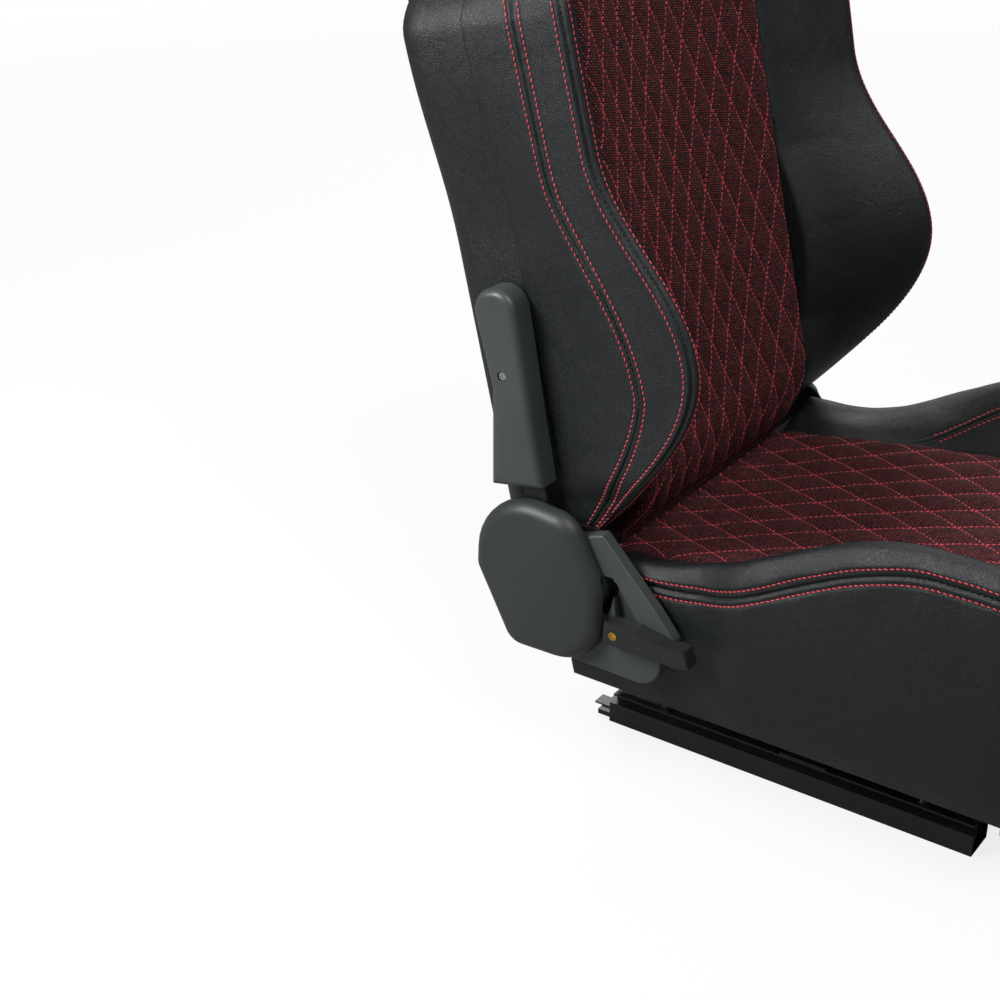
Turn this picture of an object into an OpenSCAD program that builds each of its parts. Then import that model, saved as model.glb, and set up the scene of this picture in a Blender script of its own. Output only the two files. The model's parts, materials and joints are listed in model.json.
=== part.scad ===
// Reclining racing seat on slide rails, with a release lever at the right hip.
// Millimetres, +Z up, the seat faces -Y, and the occupant's right is -X.
// The origin lies on the floor, midway between the four floor bolt holes.
// Pieces of the back are drawn upright about the recline axis and then leaned back.

/* [Slide rails] */
// Length of each floor rail
rail_len = 400; // [360:5:440]
// Distance between the two rails, centre to centre
rail_gap = 344; // [330:2:350]
// Sheet thickness of the rails
rail_wall = 2; // [1.5:0.25:2.5]
// Diameter of the bearing balls
ball_d = 8.9; // [7.5:0.1:9.5]
// Diameter of the rollers under the upper rail
roller_d = 7.9; // [6.5:0.1:8.5]
// Running clearance in the slides
slide_gap = 0.05; // [0.03:0.01:0.1]
// Outer width of the upper rail's web
web_w = 16; // [15:0.5:18]
// Width of the upper rail's foot
foot_w = 29; // [27:0.5:30]
// Width of each turned-in lip of the floor rail
lip_w = 7; // [6:0.5:8]
// Width of the upper rail's top flange
cap_w = 30; // [26:1:34]
// Rise of the upper rail over the floor rail
upper_rise = 9; // [7:0.5:12]
// Length of each upper rail
upper_len = 396; // [360:2:400]
// Distance between the floor bolt holes along a rail
hole_gap = 330; // [300:5:340]
// Diameter of the floor bolt holes
hole_d = 9; // [7:0.5:11]
// Distance of the balls and rollers from the middle of the rail
bearing_y = 88; // [70:2:90]
// Length that the rear end piece stands out of the floor rail
end_reach = 25; // [15:1:30]

/* [Seat mounting] */
// Distance between the mounting bolts along the rail
mount_gap = 284; // [260:4:300]
// Diameter of the mounting bolts
mount_bolt_d = 8; // [6:0.5:8]
// Height from the upper rail to the base frame
mount_h = 12; // [11:0.5:16]
// Width across the flats of the mounting nuts
mount_af = 13; // [12:0.5:15]

/* [Base frame] */
// Sheet thickness of the base side plates
plate_t = 3; // [2:0.25:4]
// Outer diameter of the cross tubes
tube_d = 25; // [22:0.5:28]
// Wall of the cross tubes
tube_wall = 2; // [1.5:0.25:2.5]
// Height of the cross tubes over the floor
cross_z = 124; // [123:0.5:126]
// Place of the rear cross tube
cross_rear = 190; // [186:1:192]
// Place of the middle cross tube
cross_mid = 128; // [124:1:134]
// Place of the front cross tube
cross_front = -172; // [-185:1:-160]
// Length of the base side plates
base_plate_len = 412; // [400:2:420]
// Diameter of the spring wire
wire_d = 3.5; // [3:0.25:4]
// Number of zigzag springs in the base
base_wires = 4; // [3:1:5]
// Bend radius of the spring wire
wire_bend = 11; // [10:0.5:12]
// Half of the zigzag's width, to the middle of the bends
wire_half = 14; // [12:1:16]

/* [Base cushion] */
// Half width of the quilted base cushion
base_half = 180; // [170:1:184]
// Rear end of the base cushion
base_back_y = 221; // [216:1:222]
// Front end of the base cushion
base_front_y = -192; // [-200:1:-180]
// Number of quilted diamonds across the base
base_diamonds = 8; // [6:1:9]
// Height of the cushion's edge near the fold
base_low_z = 199; // [194:1:202]
// Height of the cushion's edge near the front
base_high_z = 238; // [230:1:244]
// Height of the quilted diamonds
puff = 6; // [3:0.5:8]
// Depth of the hollow along the middle of the base
base_dish = 5; // [0:1:10]
// Height of the underside of the base bolsters
foam_z = 138; // [134:0.5:142]
// Height of the lower edge of the side skirts
skirt_z = 73; // [66:1:80]
// Thickness of the side skirts
skirt_t = 6; // [5:0.5:8]
// Half width over the base and back beside the recliners
hip_half = 245.5; // [244:0.5:246]
// How far the side skirts' lower edge lies inside the hips
skirt_tuck = 13.5; // [9.5:0.5:19.5]
// How far the base bolsters' seam stands out past the hips
bolster_swell = 12.5; // [6.5:0.5:16.5]
// Height of the bolster seam at its low point
seam_low_z = 209; // [204:1:214]
// Height of the bolster seam at its high point
seam_high_z = 309; // [300:1:314]
// Height of the bolster's crest at its low point
crest_low_z = 224; // [218:1:230]
// Height of the bolster's crest at its high point
crest_high_z = 330; // [322:1:336]
// Place of the highest point of the crest
crest_y = -155; // [-170:1:-140]
// Front of the seat base
nose_y = -262; // [-266:1:-256]

/* [Recliner] */
// Place of the recline axis
pivot_y = 225; // [225:0.5:228]
// Height of the recline axis
pivot_z = 205; // [205:0.5:208]
// Lean of the back from upright
recline_angle = 13.5; // [11:0.5:16]
// Diameter of the recliner's shaft
shaft_d = 16; // [14:0.5:18]
// Running clearance of the shaft
shaft_gap = 0.05; // [0.03:0.01:0.1]
// Gap between the side of the seat and the recliner's lower plate
hip_gap = 1.5; // [1.5:0.25:2.5]
// Diameter of the recliner discs
disc_d = 66; // [60:1:68]
// Diameter of the plain pivot's discs, on the left
pivot_disc_d = 44; // [38:1:50]
// Thickness of each recliner disc
disc_t = 4.5; // [3.5:0.25:5]
// Thickness of the upper arms
arm_t = 4; // [3:0.25:5]
// Length of the upper arms over the axis
arm_len = 280; // [270:1:286]
// Width of the upper arms
arm_w = 26; // [22:1:27]
// Distance of the upper arm's middle line behind the axis
arm_back = 5; // [4.5:0.5:5.5]
// Height of the lower arm bolt over the axis
arm_bolt_low = 140; // [130:1:150]
// Distance of the upper arm bolt from the arm's upper end
arm_bolt_end = 29; // [22:1:39]
// Diameter of the recliner bolts
recliner_bolt_d = 10; // [8:0.5:10]

/* [Covers] */
// Wall of the plastic covers
cover_wall = 2.5; // [2:0.25:3]
// Distance from the lower plate's inner side to the hinge cover's face
hinge_depth = 39; // [37:0.5:45]
// Edge rounding of the hinge cover
hinge_round = 9; // [5:0.5:11]
// Distance from the lower plate's inner side to the arm cover's face
arm_cover_depth = 28; // [26:0.5:31]
// Edge rounding of the arm cover
arm_round = 6; // [3:0.5:7]
// How far the arm cover reaches past the arm's upper end
arm_cover_over = 6; // [5:1:12]
// Place of the arm cover's screw over the axis
cover_screw_s = 202; // [190:1:215]
// Distance of the arm cover's screw behind the axis
cover_screw_back = 8; // [5:0.5:10]
// Diameter of the cover screws
cover_screw_d = 4; // [3:0.5:5]
// Distance of the cover posts from the axis
post_r = 42; // [41:0.5:43]

/* [Recline lever] */
// Thickness of the steel lever arm
lever_t = 3; // [2.5:0.25:3.5]
// Thickness of the plastic grip
grip_t = 16; // [14:0.5:17]
// Length of the lever from the axis to its tip
lever_len = 165; // [155:1:172]
// Diameter of the brass grip screw
grip_screw_d = 5; // [4:0.5:6]

/* [Back frame] */
// Diameter of the back frame tube
hoop_d = 22; // [20:0.5:24]
// Distance of the back frame tube's middle inside the hips
hoop_inset = 23.5; // [22.5:0.5:25.5]
// Distance of the frame tube behind the recline axis
hoop_back = 24; // [23:0.5:26]
// Height of the back frame's top tube over the axis
hoop_top = 520; // [514:1:522]
// Bend radius of the back frame's corners
hoop_bend = 70; // [60:1:80]
// Number of zigzag springs in the back
back_wires = 3; // [2:1:4]
// Height of the lowest back spring over the axis
back_wire_low = 110; // [90:5:140]
// Height of the highest back spring over the axis
back_wire_high = 390; // [360:5:420]

/* [Back cushion and wings] */
// Half width of the quilted back cushion
back_half = 165; // [155:1:167]
// Length of the quilted back cushion over the axis
back_len = 536; // [520:1:537]
// Number of quilted diamonds across the back
back_diamonds = 10; // [8:1:12]
// Reach of the cushion's side edges in front of the axis
back_reach = 75; // [68:1:80]
// Depth of the hollow down the middle of the back
back_dish = 20; // [12:1:26]
// Reach of the wing's edge at its widest
wing_reach = 198; // [185:1:205]
// Height of the wing's widest point over the axis
wing_s = 205; // [190:1:220]
// How far the wings' edges stand out past the hips
wing_swell = 16.5; // [10.5:0.5:20.5]
// Reach of the wing's edge at the waist
waist_reach = 133; // [125:1:140]
// Reach of the wing's outer seam at its widest
seam_reach = 129; // [120:1:134]
// How far the shoulders stand out past the hips
shoulder_swell = 18.5; // [10.5:0.5:22.5]
// Height of the shoulders over the axis
shoulder_s = 520; // [505:1:530]

/* [Head and rear] */
// Top of the back over the axis
back_top = 738; // [725:1:750]
// Half width of the head section
head_half = 148; // [140:1:150]
// Reach of the head pad in front of the axis
head_reach = 78; // [70:1:90]
// Depth of the rear face behind the axis
rear_depth = 70; // [66:1:74]
// Wall of the rear shell
shell_wall = 3; // [2.5:0.25:3.5]
// Thickness of the leather board on the rear face
board_t = 10; // [6:0.5:12]
// Distance of the rear board's side edge inside the hips
board_inset = 28.5; // [25.5:0.5:40.5]
// Lower edge of the rear board over the axis
board_low = 371; // [360:1:380]
// Width of each harness opening
slot_w = 72; // [60:1:76]
// Height of each harness opening
slot_h = 42; // [34:1:46]
// Distance from the middle of the seat to a harness opening's middle
slot_x = 104; // [100:0.5:106]
// Corner radius of the harness openings
slot_round = 10; // [6:0.5:14]
// Wall of the trims in the harness openings
bezel_wall = 3; // [2.5:0.5:3.5]
// Reach of the trims' rear flanges past the opening's edge
bezel_flange = 9; // [8:0.5:10]

/* [Release bar] */
// Diameter of the release bar
bar_d = 10; // [8:0.5:12]
// Half width of the release bar
bar_half = 138; // [134:0.5:138]
// Place of the release bar's pivot
bar_pivot_y = -20; // [-30:1:-10]
// Height of the release bar over the floor
bar_z = 24; // [22:0.5:26]
// Front of the release bar
bar_front = -254; // [-260:1:-246]
// Diameter of the release bar's pins
bar_pin_d = 8; // [6:0.5:8]

/* [Hidden] */
$fn = 48;

steel_black = [0.10, 0.10, 0.10];
zinc = [0.72, 0.74, 0.76];
plastic = [0.21, 0.22, 0.23];
leather = [0.17, 0.18, 0.19];
fabric = [0.24, 0.10, 0.11];
brass = [0.75, 0.60, 0.30];

eps = 0.01;
soft_gap = 0.4;
pin_gap = 0.1;

// Rail heights follow from what runs inside the rail
foot_z = rail_wall + roller_d + 2 * slide_gap;
rail_h = foot_z + rail_wall + ball_d + 2 * slide_gap + rail_wall;
rail_w = web_w + 2 * (ball_d + 2 * slide_gap + rail_wall);
cap_z = rail_h + upper_rise;
frame_z = cap_z + mount_h;
side_x = rail_gap / 2 + cap_w / 2 - 1;

// Widths that follow the hips
skirt_half = hip_half - skirt_tuck;
bolster_half = hip_half + bolster_swell;
hoop_half = hip_half - hoop_inset;
wing_half = hip_half + wing_swell;
shoulder_half = hip_half + shoulder_swell;
board_half = hip_half - board_inset;

// Planes of the recliner, counted outwards from the lower plate
plate_x = hip_half + hip_gap;
hinge_cover_x = plate_x + hinge_depth;
arm_cover_x = plate_x + arm_cover_depth;
disc_x = plate_x + plate_t;
moving_x = disc_x + disc_t + pin_gap;
arm_x = moving_x + disc_t;
arm_out = arm_x + arm_t;
lever_x = arm_out + 3;
grip_x = lever_x - 1.5;
cover_face = grip_x - 0.5;
rim_x = arm_out + 2;

// Planes of the back, counted forwards from the recline axis
shell_front = 13;
cover_clear = 88;
shell_low = 6;
wing_rear = shell_front + soft_gap;
wire_t = -hoop_back + hoop_d / 2 + wire_d / 2 + pin_gap;
cushion_rear = wire_t + wire_d / 2 + soft_gap;
hoop_foot = 14;
gusset_x = hoop_half + hoop_d / 2;
slot_s = back_len + 2 + slot_h / 2 + 9;
top_s = back_len + slot_h + 20;
neck_half = slot_x - slot_w / 2 - 9;
wing_foot = 16;
foot_r = 18;
waist_s = 400;
seam_s = 180;
roll_s = 90;
head_s = 690;

// Heights of the base, counted from the cross tubes
wire_z = cross_z + tube_d / 2 + wire_d / 2 + pin_gap;
cushion_z = wire_z + wire_d / 2 + soft_gap;
edge_round = 32;
bolster_in = base_half + soft_gap;
wing_in = back_half + soft_gap;

// Ends of the upper arm and of its cover
arm_bolt_high = arm_len - arm_bolt_end;
arm_cover_top = arm_len + arm_cover_over;

// Outlines beside the recline axis, as [y, z, corner radius] from the axis
hinge_outline = [[82, 78, 66], [85, -12, 20], [43, -91, 24], [-61, -89, 52], [-62, 4, 48], [-27, 68, 32]];
plate_outline = [[45, 50, 26], [66, -18, 30], [40, -90, 14], [-104, -94, 14], [-121, -66, 20],
    [-72, 10, 20], [-44, 50, 14]];
pivot_plate_outline = [[26, 26, 24], [66, -18, 30], [40, -90, 14], [-104, -94, 14], [-121, -66, 20],
    [-60, -16, 30], [-24, 24, 22]];
cover_outline = [[-14, 40, 3], [-14, -93, 10], [-124, -95, 26], [-124, -60, 6], [-139, -37, 6],
    [-116, -10, 40], [-54, 54, 4]];
recess_outline = [[-66, 17, 3], [-74, -40, 3], [-108, -40, 3]];
lever_outline = [[2, 17, 6], [-62, -33, 8], [-104, -33, 4], [-104, -47, 4], [-58, -47, 10], [-14, -14, 8]];
arm_cover_outline = [[29, arm_cover_top, 22], [-21, arm_cover_top, 22], [-14, 150, 12], [-12, 84, 3],
    [49, 91, 2], [25, 190, 30]];
// Cover posts, as angles around the axis
post_angles = [-55, -106, 147];

function sum(v, i = 0) = i >= len(v) ? 0 : v[i] + sum(v, i + 1);
function unit(v) = v / norm(v);
function cross2(a, b) = a[0] * b[1] - a[1] * b[0];
function lerp(a, b, f) = a + (b - a) * f;
function clamp01(f) = max(0, min(1, f));
// Smooth step from a to b as s runs from s0 to s1
function ease(s, s0, s1, a, b) = lerp(a, b, (1 - cos(180 * clamp01((s - s0) / (s1 - s0)))) / 2);
// Quarter sine from a at s0, steep, to b at s1, level
function rise(s, s0, s1, a, b) = lerp(a, b, sin(90 * clamp01((s - s0) / (s1 - s0))));
// Drop of a round of radius r at distance d into it
function round_drop(d, r) = r - sqrt(max(0, r * r - pow(max(0, min(d, r)), 2)));

// Corner arc of radius p[2] at corner p between its neighbours a and b
function corner_arc(a, p, b, steps) =
    let(c = [p[0], p[1]], u = unit([a[0], a[1]] - c), v = unit([b[0], b[1]] - c),
        half = acos(max(-1, min(1, u * v))) / 2, m = c + unit(u + v) * p[2] / sin(half),
        s = c + u * p[2] / tan(half) - m, turn = (180 - 2 * half) * sign(cross2(u, v)) * -1)
    [for (k = [0:steps]) let(w = turn * k / steps)
        m + [s[0] * cos(w) - s[1] * sin(w), s[0] * sin(w) + s[1] * cos(w)]];
// Outline with its corners rounded
function rounded(c, steps = 6) =
    [for (i = [0:len(c) - 1])
        for (q = corner_arc(c[(i + len(c) - 1) % len(c)], c[i], c[(i + 1) % len(c)], steps)) q];
// Outline moved inwards by d, with its corner radii reduced
function inset(c, d) =
    let(n = len(c), area = sum([for (i = [0:n - 1]) cross2(c[i], c[(i + 1) % n])]), side = sign(area))
    [for (i = [0:n - 1])
        let(a = c[(i + n - 1) % n], p = c[i], b = c[(i + 1) % n],
            u = unit([p[0] - a[0], p[1] - a[1]]), v = unit([b[0] - p[0], b[1] - p[1]]),
            nu = side * [-u[1], u[0]], nv = side * [-v[1], v[0]], m = (nu + nv) / (1 + nu * nv))
        [p[0] + m[0] * d, p[1] + m[1] * d, max(0.6, p[2] - d * (cross2(u, v) * side > 0 ? 1 : -1))]];

// Faces of a stack of rings; each ring is a front chain and its mirror-paired rear chain
function ring_faces(rows, n) = concat(
    [for (r = [0:rows - 2]) for (i = [0:n - 1]) for (k = [0, 1])
        let(a = r * n + i, b = r * n + (i + 1) % n, c = a + n, d = b + n, even = (r + i) % 2 == 0)
        even ? (k == 0 ? [a, b, d] : [a, d, c]) : (k == 0 ? [a, b, c] : [b, d, c])],
    [for (i = [0:n / 2 - 2]) for (k = [0, 1]) let(j = n - 1 - i)
        k == 0 ? [i, j, j - 1] : [i, j - 1, i + 1]],
    [for (i = [0:n / 2 - 2]) for (k = [0, 1]) let(o = (rows - 1) * n, j = n - 1 - i)
        k == 0 ? [o + i, o + j - 1, o + j] : [o + i, o + i + 1, o + j - 1]]);
module ring_stack(rings) {
    polyhedron(points = [for (ring = rings) for (p = ring) p],
        faces = ring_faces(len(rings), len(rings[0])), convexity = 8);
}
function reversed(v) = [for (i = [len(v) - 1:-1:0]) v[i]];

// Placement helpers
module right_side() {
    mirror([1, 0, 0]) children();
}
module both_sides() {
    children();
    mirror([1, 0, 0]) children();
}
// Plate drawn in the Y-Z plane, from x0 outwards
module side_plate(x0, t) {
    translate([x0, 0, 0]) rotate([90, 0, 90]) linear_extrude(t) children();
}
module at_axis() {
    translate([0, pivot_y, pivot_z]) children();
}
module leaned() {
    translate([0, pivot_y, pivot_z]) rotate([-recline_angle, 0, 0]) children();
}
// Cylinder along X from x0 to x1
module bar_x(x0, x1, d) {
    translate([x0, 0, 0]) rotate([0, 90, 0]) cylinder(h = x1 - x0, d = d);
}
module hex(af, h) {
    cylinder(h = h, d = af / cos(30), $fn = 6);
}
// Plate with its outer edge rounded in steps
module domed_plate(outline, x0, x1, r, steps = 5) {
    side_plate(x0, x1 - r - x0) polygon(rounded(outline));
    for (k = [1:steps]) {
        a = 90 * k / steps;
        b = 90 * (k - 1) / steps;
        side_plate(x1 - r + r * sin(b) - eps, r * (sin(a) - sin(b)) + eps)
            polygon(rounded(inset(outline, r * (1 - cos((a + b) / 2)))));
    }
}
// Zigzag wire along X in the X-Y plane, with straight ends that lie on what carries it
module zigzag_spring(half) {
    n = 2 * floor((half - 8) / (2 * wire_bend)) - 2;
    zig = n * wire_bend;
    for (i = [0:n]) translate([2 * wire_bend * i - zig, -wire_half, 0]) rotate([-90, 0, 0])
        cylinder(h = 2 * wire_half, d = wire_d);
    for (i = [0:n - 1])
        translate([2 * wire_bend * i + wire_bend - zig, i % 2 == 0 ? wire_half : -wire_half, 0])
            rotate([0, 0, i % 2 == 0 ? 0 : 180])
                rotate_extrude(angle = 180) translate([wire_bend, 0]) circle(d = wire_d);
    for (e = [0, 180]) rotate([0, 0, e]) {
        translate([zig + wire_bend, wire_half, 0]) rotate([0, 0, 90])
            rotate_extrude(angle = 90) translate([wire_bend, 0]) circle(d = wire_d);
        translate([0, wire_half + wire_bend, 0]) bar_x(zig + wire_bend, half + 5, wire_d);
    }
}

// ---------------------------------------------------------------- rails
module rail_profile() {
    h = rail_w / 2;
    polygon([[-h, 0], [h, 0], [h, rail_h], [h - rail_wall - lip_w, rail_h],
        [h - rail_wall - lip_w, rail_h - rail_wall], [h - rail_wall, rail_h - rail_wall],
        [h - rail_wall, rail_wall], [-h + rail_wall, rail_wall],
        [-h + rail_wall, rail_h - rail_wall], [-h + rail_wall + lip_w, rail_h - rail_wall],
        [-h + rail_wall + lip_w, rail_h], [-h, rail_h]]);
}
module lower_rail() {
    color(steel_black) translate([rail_gap / 2, 0, 0]) difference() {
        translate([0, rail_len / 2, 0]) rotate([90, 0, 0]) linear_extrude(rail_len) rail_profile();
        for (y = [-1, 1]) translate([0, y * hole_gap / 2, -1]) cylinder(h = rail_wall + 2, d = hole_d);
    }
}
module lower_rail_right() {
    right_side() lower_rail();
}
module lower_rail_left() {
    lower_rail();
}
// Stops riveted into the rear ends of the floor rails, each with a flat tongue
module rail_end_pieces() {
    color(steel_black) both_sides() translate([rail_gap / 2, 0, 0]) {
        block_h = roller_d * 0.7;
        block_y = rail_len / 2 - 9;
        translate([-rail_w / 2 + rail_wall + 1, block_y, rail_wall])
            cube([rail_w - 2 * rail_wall - 2, end_reach, block_h]);
        translate([-web_w / 2, block_y, rail_wall + block_h - eps])
            cube([web_w, 9 + end_reach, roller_d - block_h - 0.5]);
    }
}
module upper_profile() {
    w = web_w / 2;
    f = foot_w / 2;
    c = cap_w / 2;
    polygon([[-c, cap_z], [c, cap_z], [c, cap_z - rail_wall], [w, cap_z - rail_wall],
        [w, foot_z + rail_wall], [f, foot_z + rail_wall], [f, foot_z], [w - rail_wall, foot_z],
        [w - rail_wall, cap_z - rail_wall], [-w + rail_wall, cap_z - rail_wall],
        [-w + rail_wall, foot_z], [-f, foot_z], [-f, foot_z + rail_wall], [-w, foot_z + rail_wall],
        [-w, cap_z - rail_wall], [-c, cap_z - rail_wall]]);
}
module upper_rail() {
    color(steel_black) translate([rail_gap / 2, 0, 0]) difference() {
        translate([0, upper_len / 2, 0]) rotate([90, 0, 0]) linear_extrude(upper_len) upper_profile();
        for (y = [-1, 1]) translate([0, y * mount_gap / 2, cap_z - rail_wall - 1])
            cylinder(h = rail_wall + 2, d = mount_bolt_d + 0.5);
    }
}
module upper_rail_right() {
    right_side() upper_rail();
}
module upper_rail_left() {
    upper_rail();
}
// Two rows of balls between each foot and lip
module rail_balls() {
    color(zinc) both_sides() for (u = [-1, 1]) for (v = [-1, -0.4, 0.4, 1])
        translate([rail_gap / 2 + u * (web_w / 2 + slide_gap + ball_d / 2), v * bearing_y,
            foot_z + rail_wall + slide_gap + ball_d / 2])
            sphere(d = ball_d);
}
module rail_rollers() {
    color(zinc) both_sides() for (v = [-1, 1])
        translate([rail_gap / 2, v * bearing_y, rail_wall + slide_gap + roller_d / 2])
            bar_x(-foot_w / 2 + 1, foot_w / 2 - 1, roller_d);
}

// ------------------------------------------------------------ mounting
module at_mounts() {
    both_sides() for (y = [-1, 1]) translate([rail_gap / 2, y * mount_gap / 2, 0]) children();
}
module mounting_spacers() {
    color(zinc) at_mounts() translate([0, 0, cap_z]) difference() {
        cylinder(h = mount_h - 6, d = mount_bolt_d + 5);
        translate([0, 0, -1]) cylinder(h = mount_h, d = mount_bolt_d + 0.5);
    }
}
// A flanged nut under the frame and a plain nut over it
module mounting_nuts() {
    color(zinc) at_mounts() {
        difference() {
            union() {
                translate([0, 0, frame_z - 6]) cylinder(h = 1.6, d = mount_af + 6);
                translate([0, 0, frame_z - 4.5]) hex(mount_af, 4.5);
            }
            translate([0, 0, frame_z - 7]) cylinder(h = 9, d = mount_bolt_d + pin_gap);
        }
        difference() {
            translate([0, 0, frame_z + plate_t]) hex(mount_af, 6.5);
            translate([0, 0, frame_z]) cylinder(h = 12, d = mount_bolt_d + pin_gap);
        }
    }
}
module mounting_bolts() {
    color(zinc) at_mounts() {
        translate([0, 0, cap_z - rail_wall - 4]) cylinder(h = 4, d = web_w - 2 * rail_wall - 0.6);
        translate([0, 0, cap_z - rail_wall - 1])
            cylinder(h = mount_h + rail_wall + plate_t + 9, d = mount_bolt_d);
    }
}

// ---------------------------------------------------------- base frame
// Two pressed side plates with feet on the rails, joined by three cross tubes
module base_frame() {
    plug = 22;
    top = cross_z + tube_d / 2 - 6;
    color(steel_black) difference() {
        union() {
            both_sides() {
                translate([side_x, -base_plate_len / 2, frame_z])
                    cube([plate_t, base_plate_len, top - frame_z]);
                translate([rail_gap / 2 - cap_w / 2, -base_plate_len / 2, frame_z])
                    cube([side_x - rail_gap / 2 + cap_w / 2 + plate_t, base_plate_len, plate_t]);
            }
            for (y = [cross_rear, cross_mid]) translate([0, y, cross_z]) bar_x(-plate_x, plate_x, tube_d);
            translate([0, cross_front, cross_z]) bar_x(-side_x - 1, side_x + 1, tube_d);
        }
        for (y = [cross_rear, cross_mid]) translate([0, y, cross_z]) {
            bar_x(-plate_x + plug, plate_x - plug, tube_d - 2 * tube_wall);
            bar_x(-plate_x - 1, plate_x + 1, recliner_bolt_d + pin_gap);
        }
        translate([0, cross_front, cross_z]) bar_x(-side_x - 2, side_x + 2, tube_d - 2 * tube_wall);
        at_mounts() translate([0, 0, frame_z - 1]) cylinder(h = plate_t + 2, d = mount_bolt_d + 0.5);
    }
}
// Zigzag springs from the front cross tube to the rear one
module base_springs() {
    span = (cross_rear - cross_front) / 2;
    color(zinc) for (i = [0:base_wires - 1])
        translate([(i - (base_wires - 1) / 2) * 2 * base_half / (base_wires + 1),
            (cross_rear + cross_front) / 2, wire_z])
            rotate([0, 0, 90]) zigzag_spring(span);
}
// -------------------------------------------------------- base cushion
function base_edge_z(y) = rise(y, base_back_y - 21, base_front_y + edge_round, base_low_z, base_high_z)
    - round_drop(y - base_back_y + edge_round - 2, edge_round);
// Puff of the quilting: 1 in the middle of a diamond, 0 on its seams
function puffed(i, r) = (i + r) % 2 == 0 ? 0 : 1;
module base_cushion() {
    n = 2 * base_diamonds;
    rows = 11;
    step = (base_back_y - base_front_y) / rows;
    color(fabric) ring_stack([for (r = [rows:-1:0]) let(y = base_back_y - r * step)
        concat(
            [for (i = [0:n]) let(u = 2 * i / n - 1, edge = i == 0 || i == n)
                [u * base_half, y, base_edge_z(y) - base_dish * (1 - u * u) * clamp01((base_back_y - y) / 60)
                    + (edge || r == 0 || r == rows ? 0 : puff * puffed(i, r))]],
            [for (i = [n:-1:0]) [(2 * i / n - 1) * (base_half - 1), y, cushion_z]])]);
}
function base_nose(y) = round_drop(nose_y + 54 - y, 55);
// Fall of the bolster's rear end, which clears the back as it turns
function rear_fall(y, z) =
    let(d = base_back_y - y, low = base_low_z - 9)
    d >= 28 ? z
    : d > 12 ? low + (z - low) * sqrt(max(0, 1 - pow((28 - d) / 16.1, 2)))
    : lerp(low - 6, low, d / 12);
function base_side(y, w) = ease(y, 82, 20, min(hip_half, w), w);
function base_seam_z(y) = ease(y, 120, -165, seam_low_z, seam_high_z) - base_nose(y) * 0.8;
function base_crest_z(y) = rear_fall(y, ease(y, 165, crest_y, crest_low_z, crest_high_z) - base_nose(y));
function bolster_ring(y) =
    let(seam = base_side(y, bolster_half) - base_nose(y) * 0.3, zc = base_crest_z(y),
        zs = min(base_seam_z(y), zc - 6), crest = seam - 14, ze = base_edge_z(y) - 1,
        low = min(skirt_half, seam - 8), under = y < nose_y + 23.5 ? skirt_z + 2 : foam_z,
        front = [[low, skirt_z], [lerp(low, seam, 0.6), skirt_z + 32], [lerp(low, seam, 0.95), foam_z + 30],
            [seam - 1, lerp(foam_z + 30, zs, 0.75)], [seam - 3, zs], [seam - 2, lerp(zs, zc, 0.45)],
            [crest, zc], [crest - 16, zc - 5], [lerp(crest, bolster_in, 0.62), lerp(zc, ze, 0.5)],
            [lerp(crest, bolster_in, 0.86), lerp(zc, ze, 0.82)], [bolster_in, ze]],
        rear = [[low - skirt_t, skirt_z], [lerp(low, seam, 0.6) - skirt_t - 1, min(under, skirt_z + 32)],
            [lerp(low, seam, 0.9) - skirt_t - 3, under - 1], [seam - 16, under], [seam - 22, under],
            [seam - 28, under], [seam - 34, under], [seam - 42, under], [seam - 50, under],
            [bolster_in + 8, under], [bolster_in, under]])
    concat([for (p = front) [p[0], y, p[1]]], [for (p = reversed(rear)) [p[0], y, p[1]]]);
// Leather bolster with its side skirt; the cross tubes pass through the skirt
module base_bolster() {
    rows = concat([for (d = [2, 7, 14, 23]) nose_y + d],
        [for (r = [0:11]) lerp(nose_y + 24, base_back_y - 31, r / 11)],
        [for (d = [28, 24, 20, 16, 13.5, 12, 5, 0]) base_back_y - d]);
    color(leather) difference() {
        ring_stack([for (y = rows) bolster_ring(y)]);
        for (y = [cross_rear, cross_mid]) translate([0, y, cross_z])
            bar_x(skirt_half - 40, plate_x + 4, tube_d + 1.6);
    }
}
module base_bolster_right() {
    right_side() base_bolster();
}
module base_bolster_left() {
    base_bolster();
}
// Leather roll over the front edge, with an apron in front of the frame
module base_front_roll() {
    top_y = base_front_y - soft_gap;
    top_z = base_edge_z(base_front_y);
    cols = 10;
    color(leather) ring_stack([for (c = [cols:-1:0])
        let(u = 2 * c / cols - 1, x = u * base_half, full = 1 - u * u,
            front = [[top_y, top_z - 6 - base_dish * full], [top_y - 14, top_z - base_dish * full + 1],
                [lerp(top_y, nose_y, 0.62), top_z - 8 - base_dish * full],
                [nose_y + 7, top_z - 32], [nose_y + 1 - 3 * full, top_z - 72],
                [nose_y + 2 - 3 * full, foam_z + 12], [nose_y + 6, skirt_z + 23], [nose_y + 10, skirt_z + 2]],
            rear = [[top_y, foam_z], [top_y - 8, foam_z], [top_y - 16, foam_z], [top_y - 24, foam_z],
                [top_y - 32, foam_z], [nose_y + 18, foam_z - 2], [nose_y + 15, skirt_z + 23],
                [nose_y + 17, skirt_z + 2]])
        concat([for (p = front) [x, p[0], p[1]]], [for (p = reversed(rear)) [x, p[0], p[1]]])]);
}

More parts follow.
